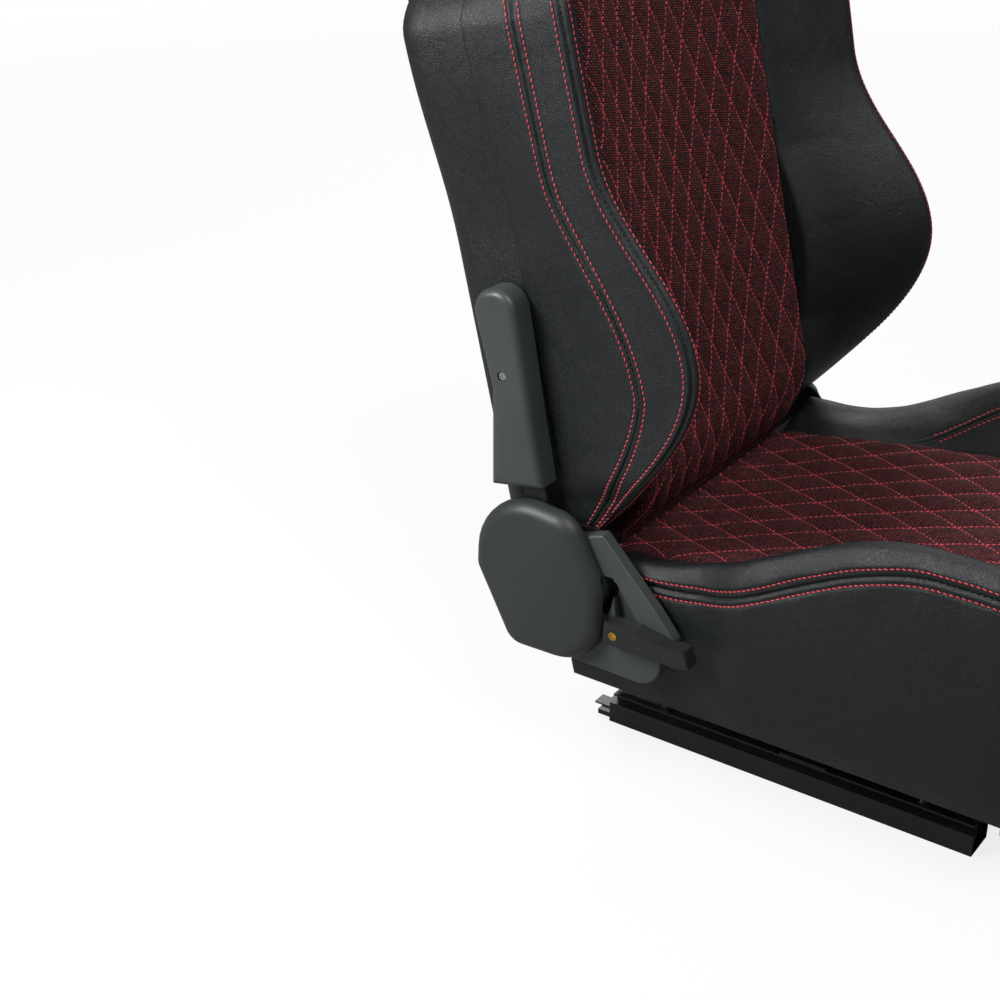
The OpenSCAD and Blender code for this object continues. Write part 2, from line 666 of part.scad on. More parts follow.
// ------------------------------------------------------------ recliner
module at_posts() {
    for (a = post_angles) rotate([a, 0, 0])
        translate([0, a == post_angles[0] ? post_r + 15 : post_r, 0]) children();
}
module recliner_lower_plate(outline, with_cover) {
    color(steel_black) difference() {
        at_axis() side_plate(plate_x, plate_t) polygon(rounded(outline));
        at_axis() bar_x(plate_x - 1, disc_x + 1, shaft_d + 2 * shaft_gap);
        for (y = [cross_rear, cross_mid]) translate([0, y, cross_z])
            bar_x(plate_x - 1, disc_x + 1, recliner_bolt_d + pin_gap);
        if (with_cover) at_axis() at_posts() {
            bar_x(plate_x - 1, disc_x + 1, cover_screw_d + 2 * pin_gap);
            bar_x(plate_x - 1, plate_x + 1.5, 2 * cover_screw_d + 2 * pin_gap);
        }
    }
}
module recliner_lower_plate_right() {
    right_side() recliner_lower_plate(plate_outline, true);
}
module recliner_lower_plate_left() {
    recliner_lower_plate(pivot_plate_outline, false);
}
module hinge_disc(x, d) {
    at_axis() difference() {
        bar_x(x, x + disc_t, d);
        bar_x(x - 1, x + disc_t + 1, shaft_d + 2 * shaft_gap);
    }
}
module fixed_discs() {
    color(zinc) {
        right_side() hinge_disc(disc_x, disc_d);
        hinge_disc(disc_x, pivot_disc_d);
    }
}
module moving_discs() {
    color(zinc) {
        right_side() hinge_disc(moving_x, disc_d - 4);
        hinge_disc(moving_x, pivot_disc_d - 4);
    }
}
// Bolts that hold the lower plates to the ends of the cross tubes
module recliner_bolts() {
    color(steel_black) both_sides() for (y = [cross_rear, cross_mid]) translate([0, y, cross_z]) {
        translate([disc_x, 0, 0]) rotate([0, 90, 0]) hex(recliner_bolt_d * 1.6, recliner_bolt_d * 0.55);
        bar_x(plate_x - 18, disc_x + 1, recliner_bolt_d);
    }
}
module pivot_pin_left() {
    color(zinc) at_axis() {
        bar_x(plate_x, arm_out + 1, shaft_d);
        bar_x(arm_out + 0.2, arm_out + 3, shaft_d + 10);
        bar_x(arm_out, arm_out + 12.5, shaft_d - 4);
    }
}
// Flat spiral spring round the end of the left pin
module clock_spring() {
    turns = 4;
    t = 1.6;
    r0 = shaft_d / 2 - 2 + pin_gap;
    r1 = pivot_disc_d / 2 - 1;
    steps = 20 * turns;
    mid = [for (k = [0:steps]) let(a = 360 * turns * k / steps, r = lerp(r0, r1, k / steps)) [a, r]];
    pts = concat([for (m = mid) [m[1] * cos(m[0]), m[1] * sin(m[0])]],
        [for (m = reversed(mid)) [(m[1] + t) * cos(m[0]), (m[1] + t) * sin(m[0])]]);
    color(zinc) at_axis() side_plate(arm_out + 3.2, 8) polygon(pts);
}
// Spiral return spring of the lever, hooked on the front cover post
module lever_spring() {
    turns = 2;
    t = 1;
    r0 = shaft_d / 2 + 1;
    r1 = post_r - 8;
    steps = 20 * turns;
    full = post_angles[2] + 360 * (turns - 1);
    mid = [for (k = [0:steps])
        [full * k / steps, k == steps ? post_r - 5.2 - t : lerp(r0, r1, k / steps)]];
    pts = concat([for (m = mid) [m[1] * cos(m[0]), m[1] * sin(m[0])]],
        [for (m = reversed(mid)) [(m[1] + t) * cos(m[0]), (m[1] + t) * sin(m[0])]]);
    color(zinc) right_side() at_axis() side_plate(arm_out + 0.4, 2.2) polygon(pts);
}
// Domed part of the hinge cover, held off the lower plate by three posts
module cover_dome() {
    difference() {
        union() {
            difference() {
                domed_plate(hinge_outline, rim_x, hinge_cover_x, hinge_round);
                side_plate(rim_x - 1, hinge_cover_x - hinge_round - rim_x + 1)
                    polygon(rounded(inset(hinge_outline, cover_wall)));
                side_plate(hinge_cover_x - hinge_round - 1, hinge_round + 1 - cover_wall)
                    polygon(rounded(inset(hinge_outline, hinge_round)));
            }
            at_posts() bar_x(disc_x, hinge_cover_x - cover_wall + eps, 10);
        }
        at_posts() bar_x(disc_x - 1, disc_x + 16, cover_screw_d + pin_gap);
        translate([rim_x - 1, -80, -58]) cube([lever_x + lever_t + 1.5 - rim_x + 1, 42, 70]);
    }
}
// Lower part of the hinge cover, over the front of the lower plate
module cover_front() {
    feet = [[-113, -75], [-57, 26], [-66, -85]];
    slot_r = 59;
    slot_wide = 11;
    difference() {
        union() {
            difference() {
                domed_plate(cover_outline, disc_x, cover_face, 2, 2);
                side_plate(disc_x - 1, cover_face - cover_wall - disc_x + 1)
                    polygon(rounded(inset(cover_outline, cover_wall)));
            }
            side_plate(disc_x + 3, cover_face - 1 - disc_x - 3)
                polygon(rounded(inset(recess_outline, -cover_wall)));
            for (p = feet) translate([0, p[0], p[1]]) bar_x(disc_x, cover_face - 1, 9);
        }
        bar_x(disc_x - 2, cover_face + 2, 2 * (post_r + 6.5));
        side_plate(disc_x + 5, 20) polygon(rounded(recess_outline));
        difference() {
            bar_x(disc_x - 2, cover_face + 2, 2 * (slot_r + slot_wide));
            bar_x(disc_x - 3, cover_face + 3, 2 * slot_r);
            translate([disc_x - 5, -100, 12]) cube([40, 200, 100]);
            translate([disc_x - 5, -100, -150]) cube([40, 200, 112]);
            translate([disc_x - 5, 0, -150]) cube([40, 200, 300]);
        }
    }
}
// The two parts are one moulding, joined where the dome's rim runs over the front part
module hinge_cover() {
    low = cover_face - cover_wall + 0.5;
    color(plastic) right_side() at_axis() {
        cover_dome();
        cover_front();
        intersection() {
            difference() {
                side_plate(low, rim_x + 1 - low) polygon(rounded(hinge_outline));
                side_plate(low - 1, rim_x + 3 - low) polygon(rounded(inset(hinge_outline, cover_wall)));
            }
            side_plate(low - 1, rim_x + 3 - low) polygon(rounded(inset(cover_outline, 1)));
            translate([low - 1, -100, 14]) cube([rim_x + 3 - low, 100, 60]);
        }
    }
}
module hinge_cover_screws() {
    color(zinc) right_side() at_axis() at_posts() {
        bar_x(plate_x, plate_x + 1.5, 2 * cover_screw_d);
        bar_x(plate_x + 1, disc_x + 14, cover_screw_d);
    }
}

// ------------------------------------------------------ recliner arms
module arm_outline(eye) {
    e = arm_w / 2;
    circle(d = eye);
    polygon(rounded([[arm_back + e, arm_len, 10], [arm_back - e, arm_len, 10], [arm_back - e, 55, 30],
        [-0.31 * eye, 0.29 * eye, 10], [0.31 * eye, 0, 10], [arm_back + e, 40, 20]]));
}
module recliner_arm(eye) {
    color(steel_black) leaned() difference() {
        side_plate(arm_x, arm_t) arm_outline(eye);
        bar_x(arm_x - 1, arm_out + 1, shaft_d + 2 * shaft_gap);
        for (s = [arm_bolt_low, arm_bolt_high]) translate([0, arm_back, s])
            bar_x(arm_x - 1, arm_out + 1, recliner_bolt_d + pin_gap);
        translate([0, cover_screw_back, cover_screw_s])
            bar_x(arm_x - 1, arm_out + 1, cover_screw_d + pin_gap);
    }
}
module recliner_arm_right() {
    right_side() recliner_arm(disc_d + 4);
}
module recliner_arm_left() {
    recliner_arm(pivot_disc_d + 4);
}
module at_arm_bolts() {
    both_sides() leaned() for (s = [arm_bolt_low, arm_bolt_high]) translate([0, arm_back, s]) children();
}
module arm_spacers() {
    color(zinc) at_arm_bolts() difference() {
        bar_x(gusset_x + plate_t, arm_x, recliner_bolt_d + 7);
        bar_x(gusset_x, arm_x + 1, recliner_bolt_d + pin_gap);
    }
}
module arm_bolts() {
    color(zinc) at_arm_bolts() {
        translate([arm_out, 0, 0]) rotate([0, 90, 0]) hex(recliner_bolt_d * 1.6, 5);
        bar_x(gusset_x - 4, arm_out + 1, recliner_bolt_d);
    }
}
module arm_cover() {
    color(plastic) leaned() difference() {
        union() {
            difference() {
                domed_plate(arm_cover_outline, hip_half + 1.5, arm_cover_x, arm_round);
                side_plate(hip_half, arm_cover_x - arm_round - hip_half)
                    polygon(rounded(inset(arm_cover_outline, cover_wall)));
                side_plate(arm_cover_x - arm_round - 1, arm_round + 1 - cover_wall)
                    polygon(rounded(inset(arm_cover_outline, arm_round)));
            }
            translate([0, cover_screw_back, cover_screw_s])
                bar_x(arm_out, arm_cover_x - cover_wall + eps, 14);
        }
        bar_x(hip_half, arm_cover_x + 1, 2 * cover_clear);
        translate([hip_half, -9, 70]) cube([arm_cover_x - arm_round - hip_half, 52, 26]);
        translate([0, cover_screw_back, cover_screw_s]) {
            bar_x(arm_out - 1, arm_cover_x + 1, cover_screw_d + 2 * pin_gap);
            bar_x(arm_cover_x - 4, arm_cover_x + 1, 2.5 * cover_screw_d);
        }
    }
}
module arm_cover_right() {
    right_side() arm_cover();
}
module arm_cover_left() {
    arm_cover();
}
module arm_cover_screws() {
    color(zinc) both_sides() leaned() translate([0, cover_screw_back, cover_screw_s]) difference() {
        union() {
            bar_x(arm_cover_x - 4, arm_cover_x - 1.6, 2 * cover_screw_d);
            bar_x(arm_x, arm_cover_x - 3, cover_screw_d);
        }
        translate([arm_cover_x - 2.8, -0.5, -2.6]) cube([3, 1, 5.2]);
        translate([arm_cover_x - 2.8, -2.6, -0.5]) cube([3, 5.2, 1]);
    }
}

// ---------------------------------------------------------- back frame
// Tube from the foot up one side, over the top and down, with gussets for the arms
module back_frame() {
    straight = hoop_top - hoop_bend;
    color(steel_black) leaned() difference() {
        union() {
            both_sides() translate([hoop_half, hoop_back, hoop_foot])
                cylinder(h = straight - hoop_foot, d = hoop_d);
            both_sides() translate([hoop_half - hoop_bend, hoop_back, straight]) rotate([90, 0, 0])
                rotate_extrude(angle = 90) translate([hoop_bend, 0]) circle(d = hoop_d);
            translate([0, hoop_back, hoop_top]) bar_x(hoop_bend - hoop_half, hoop_half - hoop_bend, hoop_d);
            translate([0, hoop_back, hoop_foot + hoop_d / 2])
                bar_x(-hoop_half, hoop_half, hoop_d);
            both_sides() translate([neck_half - 14, hoop_back, hoop_top]) cylinder(h = 150, d = 14);
            translate([0, hoop_back, hoop_top + 150]) bar_x(14 - neck_half, neck_half - 14, 14);
            both_sides() translate([neck_half - 14, hoop_back, hoop_top + 150]) sphere(d = 14);
            both_sides() side_plate(gusset_x - 1, plate_t + 1) polygon(rounded(
                [[hoop_back + 11, 10, 8], [-6, 10, 8], [-6, arm_len, 12],
                    [hoop_back + 11, arm_len + 20, 12]]));
        }
        both_sides() for (s = [arm_bolt_low, arm_bolt_high]) translate([0, arm_back, s])
            bar_x(gusset_x - 3, gusset_x + plate_t + 1, recliner_bolt_d + pin_gap);
    }
}
module back_springs() {
    color(zinc) leaned() for (i = [0:back_wires - 1])
        translate([0, -wire_t, lerp(back_wire_low, back_wire_high, i / (back_wires - 1))]) rotate([90, 0, 0])
            zigzag_spring(hoop_half - 2);
}

// -------------------------------------------------------- back cushion
function back_roll(s) = 0.0065 * pow(max(0, roll_s - s), 2);
module back_cushion() {
    n = 2 * back_diamonds;
    rows = 14;
    foot = -4;
    color(fabric) leaned() ring_stack([for (r = [-2:rows])
        let(s = r < 0 ? foot + 6.5 * r : lerp(foot, back_len, r / rows))
        r < 0 ? concat([for (i = [0:n]) [(2 * i / n - 1) * back_half, -sqrt(foot_r * foot_r - s * s), s]],
            [for (i = [n:-1:0]) [(2 * i / n - 1) * (back_half - 1), -cushion_rear, s]])
        : concat(
            [for (i = [0:n]) let(u = 2 * i / n - 1, edge = i == 0 || i == n)
                [u * back_half, -(back_reach - back_roll(s)
                    - back_dish * (1 - u * u) * clamp01((s - foot) / 90)
                    + (edge || r == 0 || r == rows ? 0 : puff * puffed(i, r))), s]],
            [for (i = [n:-1:0]) [(2 * i / n - 1) * (back_half - 1), -cushion_rear, s]])]);
}
// Half width of the back over its side face
function side_half(s) = s < shoulder_s ? ease(s, 320, shoulder_s, hip_half - 0.5, shoulder_half)
    : s < top_s + 40 ? ease(s, shoulder_s, top_s + 40, shoulder_half, head_half)
    : head_half - round_drop(s - head_s + 10, back_top - head_s + 12) * 1.5;
function wing_t(s) = s < wing_foot ? lerp(20, 14.8, (wing_foot - s) / 24)
    : s < wing_s ? rise(s, wing_foot, wing_s, 20, wing_reach)
    : s < waist_s ? ease(s, wing_s, waist_s, wing_reach, waist_reach)
    : waist_reach - round_drop(s - shoulder_s, 91) * 1.15;
function seam_t(s) = s < seam_s ? rise(max(s, wing_foot), wing_foot, seam_s, 19, seam_reach)
    : max(40, ease(s, seam_s, 420, seam_reach, 68) - round_drop(s - shoulder_s, 110) * 0.35);
function wing_edge_t(s) = back_reach - back_roll(s);
function wing_ring(s) =
    let(wo = side_half(s) - 0.5,
        ww = ease(s, 50, 100, wo, min(wing_half + max(0, side_half(s) - hip_half) * 0.3, wo + 17)),
        ws = max(ww - 5, wo), inner = s > back_len ? head_half + 6 : wing_in,
        tw = wing_t(s), deep = tw - wing_rear, gap = min(4, 0.12 * deep),
        ts = max(wing_rear + 0.5 * deep, min(seam_t(s), tw - 0.35 * deep)),
        te = max(wing_rear + 0.4 * deep, min(wing_edge_t(s), tw - 3)),
        t1 = wing_rear + min(2, 0.2 * deep),
        front = [[wo, t1], [lerp(wo, ws, 0.45), lerp(t1, ts - gap, 0.5)],
            [ws, ts - gap], [ws - 0.4 * gap, ts], [ws + min(1.5, ww - wo), ts + gap],
            [lerp(ws, ww, 0.7), lerp(ts + gap, tw, 0.5)],
            [ww, tw - min(3, 0.1 * deep)], [ww - 6, tw], [ww - 18, lerp(tw, te, 0.12)],
            [lerp(ww, inner, 0.55), lerp(tw, te, 0.5)],
            [lerp(ww, inner, 0.8), lerp(tw, te, 0.82)], [inner, te]],
        n = len(front))
    concat([for (p = front) [p[0], -p[1], s]],
        [for (i = [n - 1:-1:0]) [lerp(wo - 2, inner, i / (n - 1)), -wing_rear, s]]);
module back_wing() {
    rows = 24;
    last = top_s + 10;
    color(leather) leaned() ring_stack([for (r = [-3:rows])
        wing_ring(r < 0 ? wing_foot + 8 * r : lerp(wing_foot, last, r / rows))]);
}
module back_wing_right() {
    right_side() back_wing();
}
module back_wing_left() {
    back_wing();
}
// Pad of the head section, with a neck that runs down between the harness openings
function head_w(s) = s < top_s ? neck_half - 2 : min(head_half, side_half(s)) - 3;
module head_pad() {
    low = back_len + 2;
    s_rows = [low, lerp(low, top_s, 0.5), top_s - 3, top_s + 2, top_s + 16, top_s + 40, top_s + 70,
        head_s, head_s + 22, back_top - 12, back_top - 3];
    n = 12;
    color(leather) leaned() ring_stack([for (s = s_rows)
        let(w = head_w(s), t = (s < top_s ? head_reach - 16 : head_reach)
            - round_drop(s - head_s, back_top - head_s + 4) * 0.9)
        concat(
            [for (i = [0:n]) let(u = 2 * i / n - 1)
                [u * w, -lerp(wing_rear + 10, max(wing_rear + 14, t), sqrt(1 - 0.94 * pow(abs(u), 5))), s]],
            [for (i = [n:-1:0]) [(2 * i / n - 1) * (w - 1), -wing_rear, s]])]);
}
// Outline of the back from a low edge up, drawn smaller by d
function back_outline(d, low) =
    let(high = back_top - d, rows = 44,
        s = [for (r = [0:rows]) lerp(low, high, 1 - pow(1 - r / rows, 1.35))],
        w = [for (v = s) max(30, side_half(v) - d)])
    concat([for (r = [0:rows]) [w[r], s[r]]], [for (r = [rows:-1:0]) [-w[r], s[r]]]);
module back_slab(t0, t1, d, low) {
    translate([0, -t0, 0]) rotate([90, 0, 0]) linear_extrude(t1 - t0) polygon(back_outline(d, low));
}
module slot_block(t0, t1, grow) {
    w = slot_w / 2 + grow;
    h = slot_h / 2 + grow;
    translate([slot_x, -t0, slot_s]) rotate([90, 0, 0]) linear_extrude(t1 - t0)
        polygon(rounded([for (c = [[w, h], [-w, h], [-w, -h], [w, -h]])
            [c[0], c[1], slot_round]], 3));
}
// Leather-covered rear shell, open to the front, with rounded rear edges
module rear_shell() {
    edge = 20;
    steps = 4;
    color(leather) leaned() difference() {
        union() {
            back_slab(edge - rear_depth, shell_front, 0, shell_low);
            for (k = [1:steps]) {
                a = 90 * (k - 1) / steps;
                b = 90 * k / steps;
                back_slab(edge - rear_depth - edge * sin(b), edge - rear_depth - edge * sin(a) + eps,
                    edge * (1 - cos((a + b) / 2)), shell_low);
            }
        }
        back_slab(edge - rear_depth, shell_front + 1, shell_wall, shell_low - 1);
        back_slab(shell_wall - rear_depth, edge - rear_depth + 1, edge, shell_low - 1);
        both_sides() slot_block(-rear_depth - 1, shell_front + 1, bezel_wall + 3);
        both_sides() for (s = [arm_bolt_low, arm_bolt_high]) translate([0, arm_back, s])
            bar_x(hip_half - 10, hip_half + 5, recliner_bolt_d + 8);
    }
}
// Padded leather board over the upper part of the rear face
module rear_board() {
    color(leather) leaned() difference() {
        translate([0, rear_depth + board_t, 0]) rotate([90, 0, 0]) linear_extrude(board_t)
            polygon(rounded([[board_half, board_low, 3], [-board_half, board_low, 3],
                [-board_half, top_s - 16, 40], [-head_half + 24, top_s + 40, 30],
                [-head_half + 30, back_top - 40, 40], [head_half - 30, back_top - 40, 40],
                [head_half - 24, top_s + 40, 30], [board_half, top_s - 16, 40]]));
        both_sides() slot_block(-rear_depth - board_t - 1, shell_front, bezel_flange + 2);
    }
}
// Plastic trim through each harness opening: a front and a rear sleeve that
// meet in the middle, each with a flange on its face
module bezel_half(inner_t, outer_t, flange) {
    low = min(inner_t, outer_t);
    high = max(inner_t, outer_t);
    rim = outer_t > inner_t ? high - bezel_wall : low;
    color(plastic) leaned() difference() {
        union() {
            slot_block(low, high, bezel_wall);
            slot_block(rim, rim + bezel_wall, flange);
        }
        slot_block(low - 1, high + 1, 0);
    }
}
module harness_bezel_front_right() {
    right_side() bezel_half(0, head_reach - 14, bezel_flange - 1);
}
module harness_bezel_front_left() {
    bezel_half(0, head_reach - 14, bezel_flange - 1);
}
module harness_bezel_rear_right() {
    right_side() bezel_half(0, -rear_depth - bezel_wall, bezel_flange);
}
module harness_bezel_rear_left() {
    bezel_half(0, -rear_depth - bezel_wall, bezel_flange);
}

// --------------------------------------------------------------- lever
module lever_shaft() {
    color(zinc) right_side() at_axis() {
        bar_x(plate_x + 0.2, lever_x + lever_t + 0.2, shaft_d);
        bar_x(lever_x + lever_t, lever_x + lever_t + 2.4, shaft_d + 6);
    }
}
module lever_arm() {
    color(steel_black) right_side() at_axis() difference() {
        union() {
            bar_x(lever_x, lever_x + lever_t, shaft_d + 20);
            side_plate(lever_x, lever_t) polygon(rounded(lever_outline));
        }
        bar_x(lever_x - 1, lever_x + lever_t + 1, shaft_d + 2 * shaft_gap);
        translate([0, -80, -40]) bar_x(lever_x - 1, lever_x + lever_t + 1, grip_screw_d + pin_gap);
    }
}
module lever_grip() {
    tip = -lever_len;
    outline = [[-68, -29, 4], [-80, -26, 6], [-104, -26, 8], [-140, -33, 10], [tip + 14, -30, 5],
        [tip + 7, -31, 4], [tip, -50, 4], [tip + 18, -53, 6], [-126, -52, 6], [-68, -52, 4]];
    color(plastic) right_side() at_axis() difference() {
        domed_plate(outline, grip_x, grip_x + grip_t, 3, 3);
        side_plate(lever_x - pin_gap, lever_t + 2 * pin_gap) polygon(
            [[-60, -33 + pin_gap], [-104 - pin_gap, -33 + pin_gap], [-104 - pin_gap, -47 - pin_gap],
                [-60, -47 - pin_gap]]);
        translate([0, -80, -40]) {
            bar_x(grip_x - 1, grip_x + grip_t + 1, grip_screw_d + pin_gap);
            bar_x(grip_x + grip_t - 1.5, grip_x + grip_t + 1, 2 * grip_screw_d);
        }
    }
}
module grip_screw() {
    color(brass) right_side() at_axis() translate([0, -80, -40]) difference() {
        union() {
            bar_x(grip_x + 0.5, grip_x + grip_t - 1, grip_screw_d);
            bar_x(grip_x + grip_t - 1.5, grip_x + grip_t + 0.6, 1.8 * grip_screw_d);
        }
        translate([grip_x + grip_t - 0.8, -3, -0.6]) cube([2, 6, 1.2]);
    }
}

// --------------------------------------------------------- release bar
module release_bar() {
    bend = 24;
    run = bar_front + bar_d / 2 + bend;
    color(steel_black) difference() {
        union() {
            both_sides() translate([bar_half, bar_pivot_y, bar_z]) rotate([90, 0, 0])
                cylinder(h = bar_pivot_y - run, d = bar_d);
            both_sides() translate([bar_half - bend, run, bar_z]) rotate([0, 0, -90])
                rotate_extrude(angle = 90) translate([bend, 0]) circle(d = bar_d);
            translate([0, run - bend, bar_z]) bar_x(bend - bar_half, bar_half - bend, bar_d);
            both_sides() translate([0, bar_pivot_y, bar_z])
                bar_x(bar_half - bar_d / 2, bar_half + bar_d / 2, bar_pin_d + 8);
        }
        both_sides() translate([0, bar_pivot_y, bar_z])
            bar_x(bar_half - bar_d, bar_half + bar_d, bar_pin_d + pin_gap);
    }
}
module bar_pins() {
    color(zinc) both_sides() translate([0, bar_pivot_y, bar_z]) {
        bar_x(bar_half - bar_d / 2, rail_gap / 2 - rail_w / 2 - 1.5, bar_pin_d);
        bar_x(bar_half - bar_d / 2 - 3, bar_half - bar_d / 2, bar_pin_d + 4);
    }
}
// Angle brackets on the upper rails that carry the release bar's pins
module bar_brackets() {
    flange_x = rail_gap / 2 - rail_w / 2 - 6;
    cap_out = rail_gap / 2 + cap_w / 2;
    color(steel_black) both_sides() difference() {
        union() {
            translate([flange_x, bar_pivot_y - 25, cap_z]) cube([cap_out - flange_x, 50, 2.5]);
            translate([flange_x, bar_pivot_y - 25, bar_z - 14]) cube([2.5, 50, cap_z - bar_z + 14 + 2]);
        }
        translate([0, bar_pivot_y, bar_z]) bar_x(flange_x - 1, flange_x + 4, bar_pin_d + pin_gap);
    }
}
// Latch plates beside the bar, each with a tooth towards the floor rail's row of teeth
module latch_plates() {
    x0 = bar_half + bar_d / 2;
    color(zinc) both_sides() {
        translate([x0, bar_pivot_y - 80, bar_z - 12]) cube([3, 52, 16]);
        translate([x0, bar_pivot_y - 76, bar_z - 12])
            cube([rail_gap / 2 - rail_w / 2 - 0.6 - x0, 6, 8]);
    }
}

lower_rail_right();
lower_rail_left();
rail_end_pieces();
upper_rail_right();
upper_rail_left();
rail_balls();
rail_rollers();
mounting_spacers();
mounting_nuts();
mounting_bolts();
base_frame();
base_springs();
base_cushion();
base_front_roll();
base_bolster_right();
base_bolster_left();
recliner_lower_plate_right();
recliner_lower_plate_left();
fixed_discs();
recliner_bolts();
pivot_pin_left();
clock_spring();
lever_spring();
hinge_cover();
hinge_cover_screws();
bar_brackets();
recliner_arm_right();
recliner_arm_left();
moving_discs();
arm_spacers();
arm_bolts();
arm_cover_right();
arm_cover_left();
arm_cover_screws();
back_frame();
back_springs();
back_cushion();
back_wing_right();
back_wing_left();
head_pad();
rear_shell();
rear_board();
harness_bezel_front_right();
harness_bezel_front_left();
harness_bezel_rear_right();
harness_bezel_rear_left();
lever_shaft();
lever_arm();
lever_grip();
grip_screw();
release_bar();
latch_plates();
bar_pins();
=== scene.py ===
import json
from math import radians

import bmesh
import bpy
import numpy as np
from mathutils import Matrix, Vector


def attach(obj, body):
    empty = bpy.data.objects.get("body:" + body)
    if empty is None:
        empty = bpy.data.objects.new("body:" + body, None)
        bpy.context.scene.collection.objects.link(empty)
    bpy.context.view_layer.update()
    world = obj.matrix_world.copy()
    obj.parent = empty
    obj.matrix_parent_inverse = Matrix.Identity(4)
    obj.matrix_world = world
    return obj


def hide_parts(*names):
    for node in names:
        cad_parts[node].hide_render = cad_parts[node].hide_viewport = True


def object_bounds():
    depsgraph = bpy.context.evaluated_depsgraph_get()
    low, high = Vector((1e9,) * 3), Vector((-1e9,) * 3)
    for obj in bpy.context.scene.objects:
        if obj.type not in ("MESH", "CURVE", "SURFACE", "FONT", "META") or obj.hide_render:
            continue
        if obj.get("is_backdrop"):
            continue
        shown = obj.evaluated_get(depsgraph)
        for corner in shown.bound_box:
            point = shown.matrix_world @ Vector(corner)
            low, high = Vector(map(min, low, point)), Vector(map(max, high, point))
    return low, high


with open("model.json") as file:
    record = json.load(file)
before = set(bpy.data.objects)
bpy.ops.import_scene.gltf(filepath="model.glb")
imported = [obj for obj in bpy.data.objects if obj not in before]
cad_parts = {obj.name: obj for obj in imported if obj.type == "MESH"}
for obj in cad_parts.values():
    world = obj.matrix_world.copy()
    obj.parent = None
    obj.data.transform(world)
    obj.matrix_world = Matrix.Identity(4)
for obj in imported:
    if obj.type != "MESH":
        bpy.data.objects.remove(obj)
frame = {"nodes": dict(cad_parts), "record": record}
nodes = frame["nodes"]
cad_box = [list(corner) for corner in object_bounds()]

# ---------------------------------------------------------------- studio
# A pale floor, soft light from large lamps and a white room. The camera
# looks down from in front, a little higher than the back, on the side of
# the recline lever.
scene = bpy.context.scene
scene.view_settings.view_transform = "Standard"


def srgb(code, alpha=1.0):
    """Linear colour of a hex code: each channel is undone by the sRGB curve."""
    part = np.array([int(code[i:i + 2], 16) / 255 for i in (1, 3, 5)])
    linear = np.where(part <= 0.04045, part / 12.92, ((part + 0.055) / 1.055) ** 2.4)
    return (*linear.tolist(), alpha)


def join(tree, node, sockets):
    """Set each named socket of a node, or link it where the value is a socket of another node, or another node,
    which gives its first output."""
    for name, value in sockets.items():
        if isinstance(value, bpy.types.Node):
            value = value.outputs[0]
        if isinstance(value, bpy.types.NodeSocket):
            tree.links.new(value, node.inputs[name])
        else:
            node.inputs[name].default_value = value


def add(tree, kind, sockets=None, **settings):
    """One node of a material or world, with its settings and its sockets."""
    made = tree.nodes.new("ShaderNode" + kind)
    for name, value in settings.items():
        setattr(made, name, value)
    join(tree, made, sockets or {})
    return made


def placed(name, data):
    """A new object at the origin of the scene."""
    made = bpy.data.objects.new(name, data)
    scene.collection.objects.link(made)
    return made


camera = placed("camera", bpy.data.cameras.new("camera"))
camera.location = (-1.558, -0.627, 1.050)
camera.rotation_euler = (radians(90 - 26.4), 0, radians(-54.7))
camera.data.lens = 64.8
camera.data.sensor_width = 36
scene.camera = camera

room = bpy.data.worlds.new("white_room")
room.use_nodes = True
room.node_tree.nodes.clear()
tree = room.node_tree
ray = add(tree, "LightPath").outputs
white_ray = add(tree, "Math", {0: ray["Is Camera Ray"], 1: ray["Is Transmission Ray"]}, operation="MAXIMUM")
level = add(tree, "MapRange", {"Value": white_ray, "To Min": 0.14, "To Max": 1.0})
sky = add(tree, "Background", {"Color": (1, 1, 1, 1), "Strength": level})
add(tree, "OutputWorld", {"Surface": sky})
scene.world = room

# Place, aim and size of each lamp in metres, and its power in watts
for name, place, aim, size, power in (
        ("softbox_above", (-0.7, -1.2, 2.9), (0, 0, 0.35), (2.0, 1.4), 46),
        ("softbox_side", (-1.6, 1.2, 1.6), (-0.2, 0.25, 0.5), (0.9, 1.1), 50),
        ("softbox_far", (1.9, 1.6, 2.3), (0, 0.1, 0.5), (1.4, 2.0), 40)):
    lamp = bpy.data.lights.new(name, "AREA")
    lamp.shape, lamp.size, lamp.size_y, lamp.energy = "RECTANGLE", *size, power
    holder = placed(name, lamp)
    direction = np.subtract(aim, place)
    holder.location = place
    holder.rotation_euler = (float(np.arctan2(np.hypot(*direction[:2]), -direction[2])), 0,
                             float(np.arctan2(direction[0], -direction[1])) + np.pi)

floor_mesh, far = bpy.data.meshes.new("floor"), 9
floor_mesh.from_pydata([(-far, -far, 0), (far, -far, 0), (far, far, 0), (-far, far, 0)], [], [(0, 1, 2, 3)])
floor = placed("floor", floor_mesh)
paper = bpy.data.materials.new("studio_paper")
paper.use_nodes = True
tree = paper.node_tree
surface = tree.nodes["Principled BSDF"]
